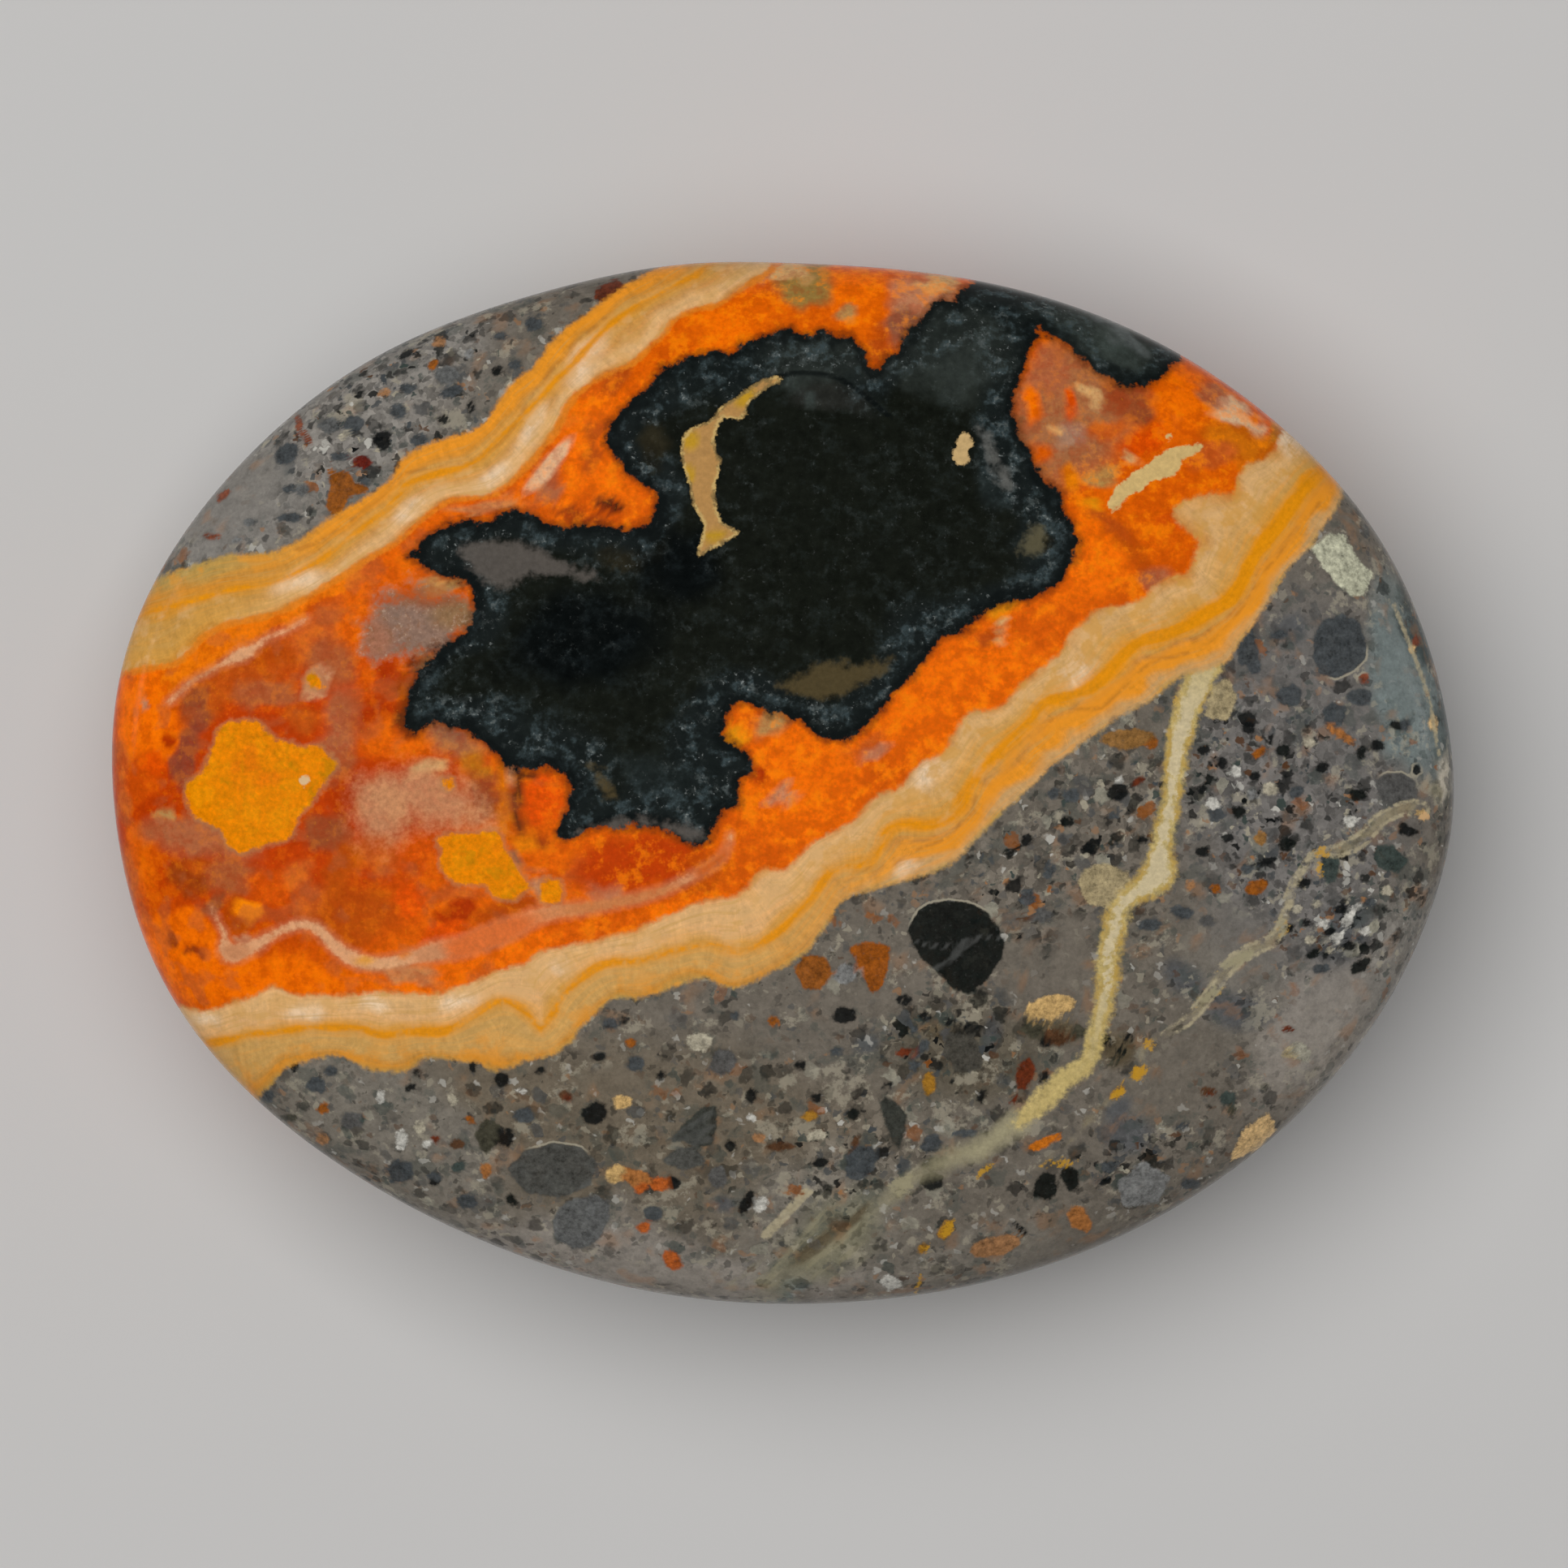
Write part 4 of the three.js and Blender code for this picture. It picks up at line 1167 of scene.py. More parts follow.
dab(border_paint, BORDER, [
    (7.2, 0.2, 2, 1.2, 40, "white"),
    (14.4, 5.7, 2, 1.4, 30, "white"),
    (6, -4.3, 1.6, 0.9, 10, "white"),
    (24.6, 17.2, 2, 1.6, -40, "white"),
    (-11.2, -9.2, 1.1, 0.9, 0, "white"),
    (-16, -10.6, 2.4, 0.8, 4, "white"),
    (-28.5, -11.6, 1.4, 0.8, 0, "white"),
    (-9.6, 20.8, 3.6, 1.2, 50, "white"),
    (-14.6, 15.2, 3, 0.9, 22, "white"),
    (-12.2, 17.3, 2.4, 0.9, 55, "white"),
    (-18.6, 13.6, 2, 0.9, 40, "white"),
    (-24, 9.9, 3, 0.7, 24, "white"),
    (-23.4, -11.3, 2, 0.9, 0, "white"),
    (-20, -11.3, 1.6, 0.9, 0, "white"),
], border_places + crinkle * 0.8, 0.2, 1.4)
keep("border_paint", border_paint)
keep("layer", layer_number)
LOWER_LINE_HALF_WIDTH = 0.14
LOWER_LINE_THICKENING = 0.18
UPPER_LINE_HALF_WIDTH = 0.09
STREAK_HALF_WIDTH = 0.3
SEAM_HALF_WIDTH = 0.07
THREAD_HALF_WIDTH = 0.14
THREAD_DEPTH = 0.1
thickening = eased(drawn[:, 0], 9.0, 22.0)
line_wander = wandering(1.1, 80.0)[:, 0] * 0.14
lower_gold = LOWER_LINE_HALF_WIDTH + LOWER_LINE_THICKENING * thickening - np.abs(lower_line)
upper_gold = UPPER_LINE_HALF_WIDTH - np.abs(upper_line)
keep("gold_line", np.where(is_lower, lower_gold, upper_gold) + line_wander)
streak_gap, _ = nearest(smooth(LOWER_STREAK), border_places)
gold_streak = STREAK_HALF_WIDTH - streak_gap + line_wander * 2
keep("gold_streak", gold_streak * rightness - 2 * (1 - rightness))
seam_gap = np.minimum(*(nearest(smooth(line), border_places)[0] for line in (SEAM, UPPER_SEAM)))
keep("seam", SEAM_HALF_WIDTH - seam_gap + line_wander * 0.3)
keep("along_border", along_border)
keep("rightness", rightness)
thread_line = THREAD_HALF_WIDTH - np.abs(upper_inner - THREAD_DEPTH) + line_wander * 0.6
keep("thread", np.where(is_lower, -1, thread_line))

layer = kept("layer")
along_wire = kept("along_border")
fibre_place = Wire.node("ShaderNodeCombineXYZ", {}, {"X": along_wire * 3.4, "Y": layer * 0.9, "Z": 0.0})
fibres = cloudy(1.0, 2.0, 0.6, fibre_place)
lamina_place = Wire.node("ShaderNodeCombineXYZ", {}, {"X": along_wire * 0.35, "Y": layer * 9.0, "Z": 0.0})
laminae = cloudy(1.0, 2.0, 0.6, lamina_place)
shade = 0.16 + fibres * 0.42 + laminae * 0.34 + powder * 0.42 + tufts * 0.28 + clumps * 0.2
border = brightened(kept("border_paint", "Color"), shade)
pale_share = (drift + (flames - 0.5) * 6.0).over(0.2, 1.8)
border = laid(border, colour_of("pale", BORDER), pale_share * (layer - 0.4).over(0.0, 1.0) * 0.6)
honey = clumps.over(0.5, 0.62) * (layer - 1.1).over(0.0, 0.3) * (0.25 + kept("rightness") * 0.4)
border = laid(border, colour_of("gold cream", BORDER), honey)
gilt = (drift_two + (flames - 0.5) * 7.0).over(-0.2, 1.6)
gilt_share = gilt * (1 - (layer - 0.1).over(0.0, 1.1)) * (0.45 - kept("rightness") * 0.3)
border = laid(border, colour_of("bright gold", BORDER), gilt_share)
stripes = laminae.over(0.46, 0.66) * (1 - (layer - 1.1).over(0.0, 0.7)) * (0.3 + kept("rightness") * 0.3)
border = laid(border, colour_of("bright gold", BORDER), stripes * 0.55)
gaps = (1 - laminae.over(0.34, 0.48)) * (layer - 0.1).over(0.0, 0.3)
border = laid(border, colour_of("pale tan", BORDER), gaps * 0.4)
line_depth = kept("gold_line")
border = laid(border, colour_of("bright gold", BORDER), line_depth.over(-0.4, 0.1) * 0.35)
line_colour = brightened(colour_of("line", BORDER), 0.6 + powder * 0.5 + laminae * 0.3)
border = laid(border, line_colour, (line_depth + (powder - 0.5) * 0.2).over(-0.1, 0.1) * 0.9)
streak_depth = kept("gold_streak") + (tufts - 0.5) * 0.4
border = laid(border, colour_of("bright gold", BORDER), streak_depth.over(-0.2, 0.2) * 0.7)
seam = (kept("seam") + (powder - 0.5) * 0.16).over(-0.12, 0.08) * flames.over(0.36, 0.56)
border = laid(border, colour_of("seam", BORDER), seam * 0.42)
in_border = (kept("from_wall") + fray * 0.4 + (powder - 0.5) * 0.3).over(-0.16, 0.14)


# The orange filling of the vein. Realgar and orpiment coloured the calcite orange, red and gold in
# clouds, and where little got in it stayed milky or pink.
FILLING = {
    "bright": (244, 110, 4),
    "orange": (226, 98, 6),
    "dark": (196, 84, 8),
    "red": (192, 62, 5),
    "deep red": (174, 52, 4),
    "brown": (156, 64, 16),
    "brown orange": (190, 82, 18),
    "mauve": (152, 76, 40),
    "rose": (172, 90, 48),
    "pink": (196, 130, 92),
    "milky": (134, 118, 104),
    "shadow milk": (122, 94, 68),
    "white milk": (196, 176, 154),
    "olive milk": (134, 114, 82),
    "pink milk": (160, 114, 90),
    "rust dark": (148, 60, 4),
    "wisp": (212, 158, 110),
    "band orange": (240, 122, 10),
    "gold cream": (226, 160, 70),
    "shell": (224, 168, 122),
    "coral": (222, 112, 52),
    "flame": (248, 134, 8),
    "smoky pink": (168, 126, 100),
    "pale cream": (222, 186, 146),
    "rich orange": (208, 110, 14),
    "olive tan": (178, 136, 74),
    "peach": (200, 142, 100),
    "cream": (212, 166, 108),
    "tan": (182, 138, 80),
    "smoke": (140, 92, 66),
    "gold": (226, 140, 14),
    "olive": (150, 120, 60),
    "shadow": (104, 50, 20),
    "salmon": (202, 94, 32),
    "mauve pink": (176, 100, 62),
    "plum": (142, 66, 44),
    "rust": (186, 78, 10),
    "red orange": (214, 84, 8),
    "bright red": (228, 82, 4),
    "gold brown": (196, 122, 24),
    "gold orange": (222, 120, 8),
    "peach brown": (200, 128, 76),
    "pink brown": (166, 106, 66),
    "pink cream": (226, 180, 138),
    "pitch": (50, 30, 14),
}
filling_paint = plain_coat(FILLING["orange"])
ragged = drawn + crinkle + wandering(0.9, 9.0)[:, :2] * 0.4 + wandering(0.5, 12.0)[:, :2] * 0.2
dab(filling_paint, FILLING, [
    # The left end, from the rim to the black body
    (-25, 0, 20, 16, 12, "red"),
    (-22, 7.6, 6, 3, 30, "salmon"),
    (-21, 8.2, 2, 3.6, 8, "orange"),
    (-27, 5, 6.5, 2.2, 24, "brown orange"),
    (-25.6, 6.2, 3, 1.2, 24, "rust"),
    (-28.9, 3.6, 1.6, 1.6, 0, "mauve"),
    (-29.2, 1.6, 1.3, 4, -10, "plum"),
    (-25.4, 4.3, 3.6, 1.3, 8, "rose"),
    (-24, 3.2, 1.8, 1.4, 0, "brown orange"),
    (-22.6, 6, 2.6, 2.4, 0, "rose"),
    (-21.9, 2.6, 2, 4.4, -6, "mauve pink"),
    (-21.6, 1, 1.3, 1.3, 0, "rose"),
    (-19.6, 4.6, 3.2, 5, 8, "red orange"),
    (-20.2, 3.2, 2.2, 2.8, 0, "deep red"),
    (-19, 2.2, 4.4, 2.6, 0, "orange"),
    (-18.2, 2.2, 1.6, 0.9, -20, "dark"),
    (-21.7, -0.8, 1.6, 2.6, -8, "deep red"),
    (-22.6, -2.4, 1.8, 1.6, 0, "mauve"),
    (-32.4, 0.6, 1.2, 5, 0, "salmon"),
    (-31.6, 0.4, 2, 2.6, 0, "red orange"),
    (-30.6, 1.2, 1.4, 1.2, 0, "bright red"),
    (-31.6, -3.6, 1.6, 4, 8, "orange"),
    (-32.2, -4.8, 1, 3.6, 12, "salmon"),
    (-28.7, -2.7, 5.4, 2.4, -8, "mauve pink"),
    (-30.3, -1.4, 0.9, 0.8, 0, "tan"),
    (-29.4, -4.6, 1.9, 1.6, 0, "brown"),
    (-28.6, -4.4, 2.4, 0.8, -10, "brown orange"),
    (-27.2, -4.8, 2.8, 1.8, 0, "rose"),
    (-25.2, -5.4, 2.4, 2.2, 0, "red orange"),
    (-23.9, -4.6, 2, 1.8, 0, "salmon"),
    (-22.9, -6, 2.4, 1.8, 20, "salmon"),
    (-20.2, -3.4, 3.4, 2, 0, "salmon"),
    (-21.8, -4.2, 1.2, 3, 0, "rust"),
    (-21, -6.4, 4, 3, 0, "rust"),
    (-18.2, -3.2, 2.4, 2.4, 0, "red orange"),
    (-18.4, -5.9, 1.8, 2.2, 0, "bright red"),
    (-16.2, -5.7, 3.4, 0.8, 10, "salmon"),
    (-16, -6.7, 2.8, 1, 12, "deep red"),
    (-16.6, -7.5, 2.2, 0.8, 16, "bright red"),
    (-13.6, -6.3, 3.4, 0.9, 20, "rust"),
    (-12, -5.2, 1.2, 1.6, 0, "salmon"),
    (-9.8, -4.2, 3.4, 1.4, 0, "salmon"),
    (-8.8, -5.2, 1.7, 0.7, -10, "peach"),
    (-11.2, -3.6, 2.6, 1.4, 20, "orange"),
    # The gold lump's small neighbour, and pink ground round it
    (-23.1, 5, 1.5, 1.3, 0, "peach"),
    # The pale ground between the two large gold lumps and the black
    (-16.4, 1.9, 3.4, 1.5, -34, "pink brown"),
    (-16.6, 2.5, 2, 0.9, -20, "smoke"),
    (-18.9, 3.2, 1.3, 1.9, 0, "shadow"),
    (-18.7, 4.6, 1, 2, 0, "rust dark"),
    (-19.4, 5.6, 1.4, 1.6, 0, "deep red"),
    (-15.4, 0.8, 1.6, 1.2, -40, "gold brown"),
    (-14.9, -0.5, 1.4, 2.2, 20, "mauve"),
    (-17.6, 0.8, 1.6, 0.7, 10, "cream"),
    (-13.9, -0.6, 0.8, 3.8, 6, "gold orange"),
    (-12.6, -2.8, 1.4, 1, 0, "gold orange"),
    (-13.3, -3.7, 0.5, 1.6, 20, "smoke"),
    (-12.3, -5.1, 0.6, 1.4, 0, "peach"),
    # Bright orange lobes at the rim and along the borders
    (-31.3, 4.6, 3.2, 3, 0, "bright"),
    (-31.2, 2.9, 3.2, 2.4, 0, "bright"),
    (-30.2, 2, 1.2, 1.4, 0, "bright"),
    (-30.1, 2.4, 0.6, 0.7, 0, "deep red"),
    (-31.2, 3.9, 0.5, 0.9, 0, "pink"),
    (-29.8, -7.9, 4.2, 3, -14, "bright"),
    (-29.3, -6.7, 1.7, 1.5, 0, "bright"),
    (-28.2, -5.9, 1, 0.8, 0, "mauve"),
    (-30.2, -7.4, 0.7, 0.5, 0, "brown"),
    (-29.1, -7.9, 0.7, 0.5, 0, "brown"),
    (-27, -6.6, 1.4, 2, 0, "rust"),
    (-26.4, -6.4, 1.2, 1.2, 0, "flame"),
    (-26.8, -7.8, 1.2, 0.7, 10, "pink"),
    # Below the wavy pale line
    (-26, -9.6, 9.6, 2.6, -4, "bright"),
    (-18.5, -9.8, 9, 1.2, 3, "bright"),
    (-18.8, -9.2, 4, 0.6, 0, "peach brown"),
    (-13.6, -8.3, 5.6, 1.1, 16, "bright"),
    (-9.4, -6.9, 5, 1.1, 12, "orange"),
    (-5.4, -6.2, 4.4, 1, 10, "bright"),
    # Between the black body and the lower border
    (-7.2, -3.8, 7, 2.4, 12, "red"),
    (-4, -4.4, 3, 2, 20, "dark"),
    (-1.2, -3.2, 2.6, 3.6, 30, "orange"),
    (1, 0, 6, 7, 20, "bright"),
    (0.2, -0.8, 1.3, 1.2, 40, "pink"),
    (-0.6, 3, 2, 1.4, 0, "tan"),
    (-2.4, 2.4, 1.4, 1, 0, "gold"),
    (4.4, 1.8, 2.4, 0.9, 30, "salmon"),
    (8.6, 4.6, 9, 4.4, 38, "bright"),
    (10.8, 7.6, 1.2, 0.6, 60, "cream"),
    (10, 7.4, 1.4, 0.8, 20, "brown orange"),
    (10.6, 8.6, 1.8, 0.7, 10, "gold"),
    (12.6, 7.8, 3, 2.4, 40, "orange"),
    (15.2, 11.2, 3.4, 6, -16, "bright"),
    (17, 11.8, 4.4, 1.4, -50, "dark"),
    (16, 12.8, 2.6, 0.8, -42, "brown orange"),
    (18.2, 10.4, 1.8, 1.2, 20, "mauve pink"),
    (19, 14.6, 2.6, 4, -10, "orange"),
    (19.4, 12.6, 1.6, 1, 0, "red orange"),
    (18.2, 13.6, 3, 1, 20, "orange"),
    # The top right, above the black body
    (14, 18.2, 6, 6.4, -20, "pink brown"),
    (13, 20.4, 2.6, 2.4, 30, "mauve pink"),
    (17.4, 18.6, 3.2, 2, -10, "mauve"),
    (15.3, 19.2, 1.5, 0.8, -40, "cream"),
    (14, 17.3, 1.9, 1.7, 0, "smoky pink"),
    (13.3, 17.6, 0.5, 0.7, 20, "cream"),
    (12.2, 18.8, 0.8, 1.8, 10, "bright"),
    (14.1, 19, 0.8, 1.4, 0, "bright red"),
    (12.6, 16.3, 1.4, 1, 0, "orange"),
    (15.9, 17.6, 1.6, 1, 0, "salmon"),
    (17.8, 16.8, 2.2, 1, 10, "bright red"),
    (19.6, 18.8, 2.8, 3.6, -10, "bright"),
    (21.2, 19.4, 1.4, 1.4, -40, "mauve pink"),
    (22.2, 18.2, 2.4, 1.2, -30, "pale cream"),
    (22.9, 17.5, 1, 0.8, -40, "pale cream"),
    (22.6, 16.5, 4, 2, -20, "rich orange"),
    (21, 16, 2.4, 1.4, 10, "salmon"),
    (24.2, 17.4, 1, 1.6, -30, "gold brown"),
    (15.7, 15.3, 1.9, 1.2, 20, "olive tan"),
    (17.3, 16, 0.8, 0.5, 0, "cream"),
    (14.2, 15.3, 1, 1.2, 0, "gold orange"),
    (15.2, 13.9, 0.9, 0.6, 0, "gold"),
    # Round the top of the black body
    (-9.2, 17.4, 2.6, 6, -18, "bright"),
    (-9.6, 14, 7, 2.2, 10, "orange"),
    (-9.3, 16.4, 0.6, 3, -6, "brown orange"),
    (-14.9, 13.8, 3.6, 0.6, 10, "peach brown"),
    (-11.4, 14.6, 1.7, 1.5, 20, "mauve pink"),
    (-10.4, 14.1, 1.3, 1, 0, "bright"),
    (-8.4, 14.7, 2.8, 1.2, -20, "bright"),
    (-9.9, 13.3, 3.4, 0.7, -4, "brown"),
    (-8.2, 20, 2.2, 1.1, 46, "brown orange"),
    (-3, 22.6, 6, 2.4, 18, "bright"),
    (-2.6, 24.9, 4.4, 1.6, 14, "cream"),
    (-5, 22, 2.4, 1.2, 40, "orange"),
    (1.2, 24.4, 3, 2.4, 10, "olive"),
    (1.2, 24.6, 1.2, 1, 0, "tan"),
    (0.4, 25, 1.6, 0.8, 0, "cream"),
    (4, 23.8, 3.6, 3.2, 20, "bright"),
    (3.2, 23.1, 1.2, 0.8, 10, "tan"),
    (7.2, 23.8, 3.6, 3.4, 50, "pink"),
    (6, 22.6, 2, 1.8, 60, "smoke"),
    (5, 21.4, 0.9, 1.8, 0, "brown orange"),
    (7.6, 24.8, 2, 1, 0, "cream"),
    # Beside the left arm of the black body
    (-18.6, 10.2, 3.2, 1.4, 30, "orange"),
    (-16.8, 9.6, 1.8, 1, 10, "tan"),
    (-13.4, 0.2, 1.2, 2.6, 0, "peach"),
], ragged, 0.66, 1.26)
dab(filling_paint, FILLING, [
    # The knot of orange that stands in a bay of the black body
    (-12.2, -1.2, 3.6, 3.8, 0, "dark"),
    (-11.7, -0.8, 2.2, 2.8, 0, "bright red"),
    (-11.2, -2.4, 1.2, 1.6, 20, "orange"),
    (-13.1, -0.6, 0.7, 3.4, 2, "shadow"),
    (-12.6, 0.4, 1.2, 0.5, -20, "shadow"),
    (-12.9, -1.9, 0.6, 1, 10, "shadow"),
    (-13.8, -0.7, 0.6, 3.6, 4, "gold orange"),
    (-12.7, -2.9, 1.3, 0.9, 0, "gold orange"),
    (-11.9, -2.8, 0.5, 0.8, 0, "brown"),
    (-18.2, 6, 0.7, 1.2, -6, "shadow"),
    (-17.6, 5.9, 0.7, 1.2, 0, "tan"),
    (-11.5, 15.7, 3.4, 0.8, 46, "pink cream"),
    (-8.5, 13.85, 1.6, 0.7, -8, "shadow"),
    (-8.3, 13.8, 1, 0.4, -10, "pitch"),
    (-0.9, 0.3, 0.6, 1, 20, "deep red"),
    (-0.4, -1, 0.9, 0.35, 40, "pink"),
    (0.3, -0.5, 0.35, 1.3, -6, "pink"),
    (4.6, 1.4, 1.9, 0.5, 28, "pink"),
], drawn + crinkle * 0.6, 0.75, 1.2)
keep("filling_paint", filling_paint)

# Milky and peach patches with soft edges, a wavy pale line like agate that follows the lower border, a
# straighter one at the left end below the upper border, and the plain orange between that and the border
MILKY_PATCHES = (
    (
        (-20.6, 7.5), (-20.1, 8.4), (-19.5, 9.2), (-18, 9.4), (-17, 9.3), (-16, 9.2), (-15.2, 8.8),
        (-15, 8.2), (-15.4, 7.8), (-16, 7.4), (-16.2, 6.6), (-17, 6.2), (-17.6, 6.3), (-18.5, 6.5),
        (-19.3, 6.3), (-20.3, 6.4),
    ),
)
PEACH_PATCHES = (
    (
        (-21.2, -0.6), (-20.5, 0.2), (-19, 0.6), (-17.8, 0.9), (-16.9, 0.6), (-16, 0.1), (-15.2, -0.6),
        (-14.6, -1.4), (-14.4, -2.1), (-15.6, -2.1), (-17.2, -2), (-18.4, -1.8), (-19.2, -2.8),
        (-20.2, -3.1), (-21.2, -2.2),
    ),
)
AGATE = (
    (-28.2, -6.1), (-27.9, -6.8), (-27.6, -7.4), (-27.5, -8.2), (-26.9, -8.35), (-26, -8), (-25.2, -7.5),
    (-24.4, -7.15), (-23.6, -7), (-22.9, -7.2), (-22.3, -7.8), (-21.6, -8.4), (-20.8, -8.8), (-20, -8.9),
    (-19, -8.8), (-18.2, -8.6), (-17.2, -8.3), (-16, -8.1), (-15, -7.75), (-14, -7.4), (-13, -6.95),
    (-12, -6.5), (-11, -6.3), (-10, -6.2), (-9, -6), (-8, -5.8), (-7, -5.6), (-6, -5.3), (-5.2, -4.9),
    (-4.4, -4.5), (-3.6, -4.1), (-3, -3.6), (-2.7, -3.1), (-2.6, -2.6),
)
AGATE_WIDTHS = (
    (0, 0.1), (1.6, 0.25), (2.4, 0.95), (3.4, 0.7), (5, 0.35), (7.4, 0.5), (9.4, 0.75), (11, 0.6),
    (12.4, 0.6), (13.4, 0.9), (17, 1), (20, 0.6), (24, 0.5), (28, 0.35), (31, 0.2),
)
UPPER_AGATE = (
    (-30.3, 4), (-29.7, 4.5), (-29, 5.05), (-28, 5.6), (-27, 6.15), (-26.3, 6.5), (-25.5, 7.1),
    (-24.6, 7.5), (-23.6, 8.1),
)
UPPER_BAND = (
    (-30.3, 4), (-29, 5.05), (-28, 5.6), (-27, 6.15), (-26.3, 6.5), (-25.3, 7.2), (-24.4, 7.9),
    (-23.4, 8.7), (-22.4, 9.3), (-21, 10.2), (-23, 11), (-26, 10), (-29, 8.5), (-31, 7),
)

filling_places = drawn + crinkle * 0.5
milky = np.max([depth_in(outline, filling_places) for outline in MILKY_PATCHES], axis=0)
peach = np.max([depth_in(outline, filling_places) for outline in PEACH_PATCHES], axis=0)
keep("milky", milky)
milk_paint = plain_coat(FILLING["milky"])
dab(milk_paint, FILLING, [
    (-20.1, 7.2, 1.8, 2, 0, "pink milk"),
    (-16, 8.4, 2.6, 1.8, 0, "olive milk"),
    (-17.6, 9.1, 3.6, 0.9, 0, "smoke"),
], filling_places)
keep("milk_paint", milk_paint)
keep("peach", peach)
WISPS = ((-17.8, 0.5, 2.4, 0.7, 20), (-19.4, -0.9, 2.0, 1.6, 0), (-15.4, -1.3, 2.0, 0.8, -16))
keep("wisp", ovals(WISPS, filling_places, 0.3, 1.5))
agate_places = drawn + crinkle * 0.16
agate_gap, agate_along = nearest(smooth(AGATE), agate_places)
agate_width = np.interp(agate_along, *zip(*AGATE_WIDTHS))
upper_gap, upper_way = nearest(smooth(UPPER_AGATE), agate_places)
upper_width = 0.1 + 0.24 * np.exp(-((upper_way - 4.3) / 0.7) ** 2)
keep("agate", np.maximum(agate_width / 2 - agate_gap, upper_width - upper_gap))
agate_paint = plain_coat(FILLING["shell"])
dab(agate_paint, FILLING, [
    (-14.6, -7.6, 6.4, 1.8, 20, "coral"),
    (-17.4, -8.5, 1.6, 1.2, 0, "peach"),
    (-20.6, -8.75, 1.1, 0.5, 0, "gold cream"),
    (-18.75, -8, 0.8, 1.4, 0, "gold orange"),
    (-27, -8.3, 1.6, 1, 0, "peach"),
    (-8, -5.8, 8, 1.6, 10, "peach brown"),
    (-3.4, -4, 2.6, 2.6, 40, "salmon"),
    (-29, 5, 2.4, 1, 26, "peach"),
], agate_places)
keep("agate_paint", agate_paint)
# The filling is rosy at the left end and in the top right corner
left_end = eased(-drawn[:, 0], 7, 15)
top_right = eased(drawn[:, 1] - drawn[:, 0] * 0.5, 7, 10) * eased(drawn[:, 0], 8, 11)
keep("rosy", np.maximum(left_end, top_right))
keep("upper_band", depth_in(UPPER_BAND, filling_places, smoothed=False))

orange = kept("filling_paint", "Color")
soft_cloud = (flames - 0.5) * 2.0 + drift * 0.3
band_share = (kept("upper_band") + soft_cloud * 0.5).over(-0.15, 0.2)
orange = laid(orange, colour_of("band orange", FILLING), band_share * 0.9)
orange = laid(orange, colour_of("deep red", FILLING), (1 - (flames + drift * 0.03).over(0.38, 0.54)) * 0.3)
rosy = kept("rosy")
flame_share = (flames + drift_two * 0.03).over(0.5, 0.66) * (0.5 - rosy * 0.32)
orange = laid(orange, colour_of("flame", FILLING), flame_share)
rose_cloud = (drift_three + (clumps - 0.5) * 8.0).over(0.4, 2.2)
orange = laid(orange, colour_of("rose", FILLING), rose_cloud * rosy * 0.4)
orange = brightened(orange, 0.5 + powder * 0.5 + tufts * 0.26 + flames * 0.3)
orange = laid(orange, colour_of("gold", FILLING), specks.over(0.62, 0.76) * 0.25)
milky_share = (kept("milky") + soft_cloud * 0.7 + (powder - 0.5) * 1.0).over(-0.5, 0.5)
milk = laid(kept("milk_paint", "Color"), colour_of("shadow milk", FILLING), tufts.over(0.5, 0.64) * 0.5)
milk = laid(milk, colour_of("white milk", FILLING), (flames * 0.5 + specks * 0.5).over(0.54, 0.66) * 0.5)
orange = laid(orange, brightened(milk, 0.5 + powder * 0.9), milky_share * 0.9)
peach_share = (kept("peach") + soft_cloud * 0.6 + (powder - 0.5) * 0.8).over(-0.8, 0.8)
flesh = laid(colour_of("peach", FILLING), colour_of("pink", FILLING), tufts.over(0.42, 0.6) * 0.6)
wisp = (kept("wisp") + (flames - 0.5) * 1.6 + (powder - 0.5) * 0.8).over(0.2, 1.0)
flesh = laid(flesh, colour_of("wisp", FILLING), wisp * 0.6)
orange = laid(orange, brightened(flesh, 0.56 + powder * 0.8), peach_share * 0.85)
agate_depth = kept("agate") + (powder - 0.5) * 0.3
orange = laid(orange, colour_of("pink", FILLING), agate_depth.over(-0.36, 0.0) * 0.35)
chalk = brightened(kept("agate_paint", "Color"), 0.56 + powder * 0.6 + tufts * 0.3)
orange = laid(orange, chalk, agate_depth.over(-0.1, 0.16) * 0.85)
inner_edge = (kept("from_inner") + fray * 0.7).over(-0.12, 0.22)
body = laid(border, orange, inner_edge)
thread = (kept("thread") + (flames - 0.5) * 0.4 + (powder - 0.5) * 0.2).over(-0.1, 0.1)
body = laid(body, brightened(colour_of("thread", BORDER), 0.7 + powder * 0.6), thread * 0.85)


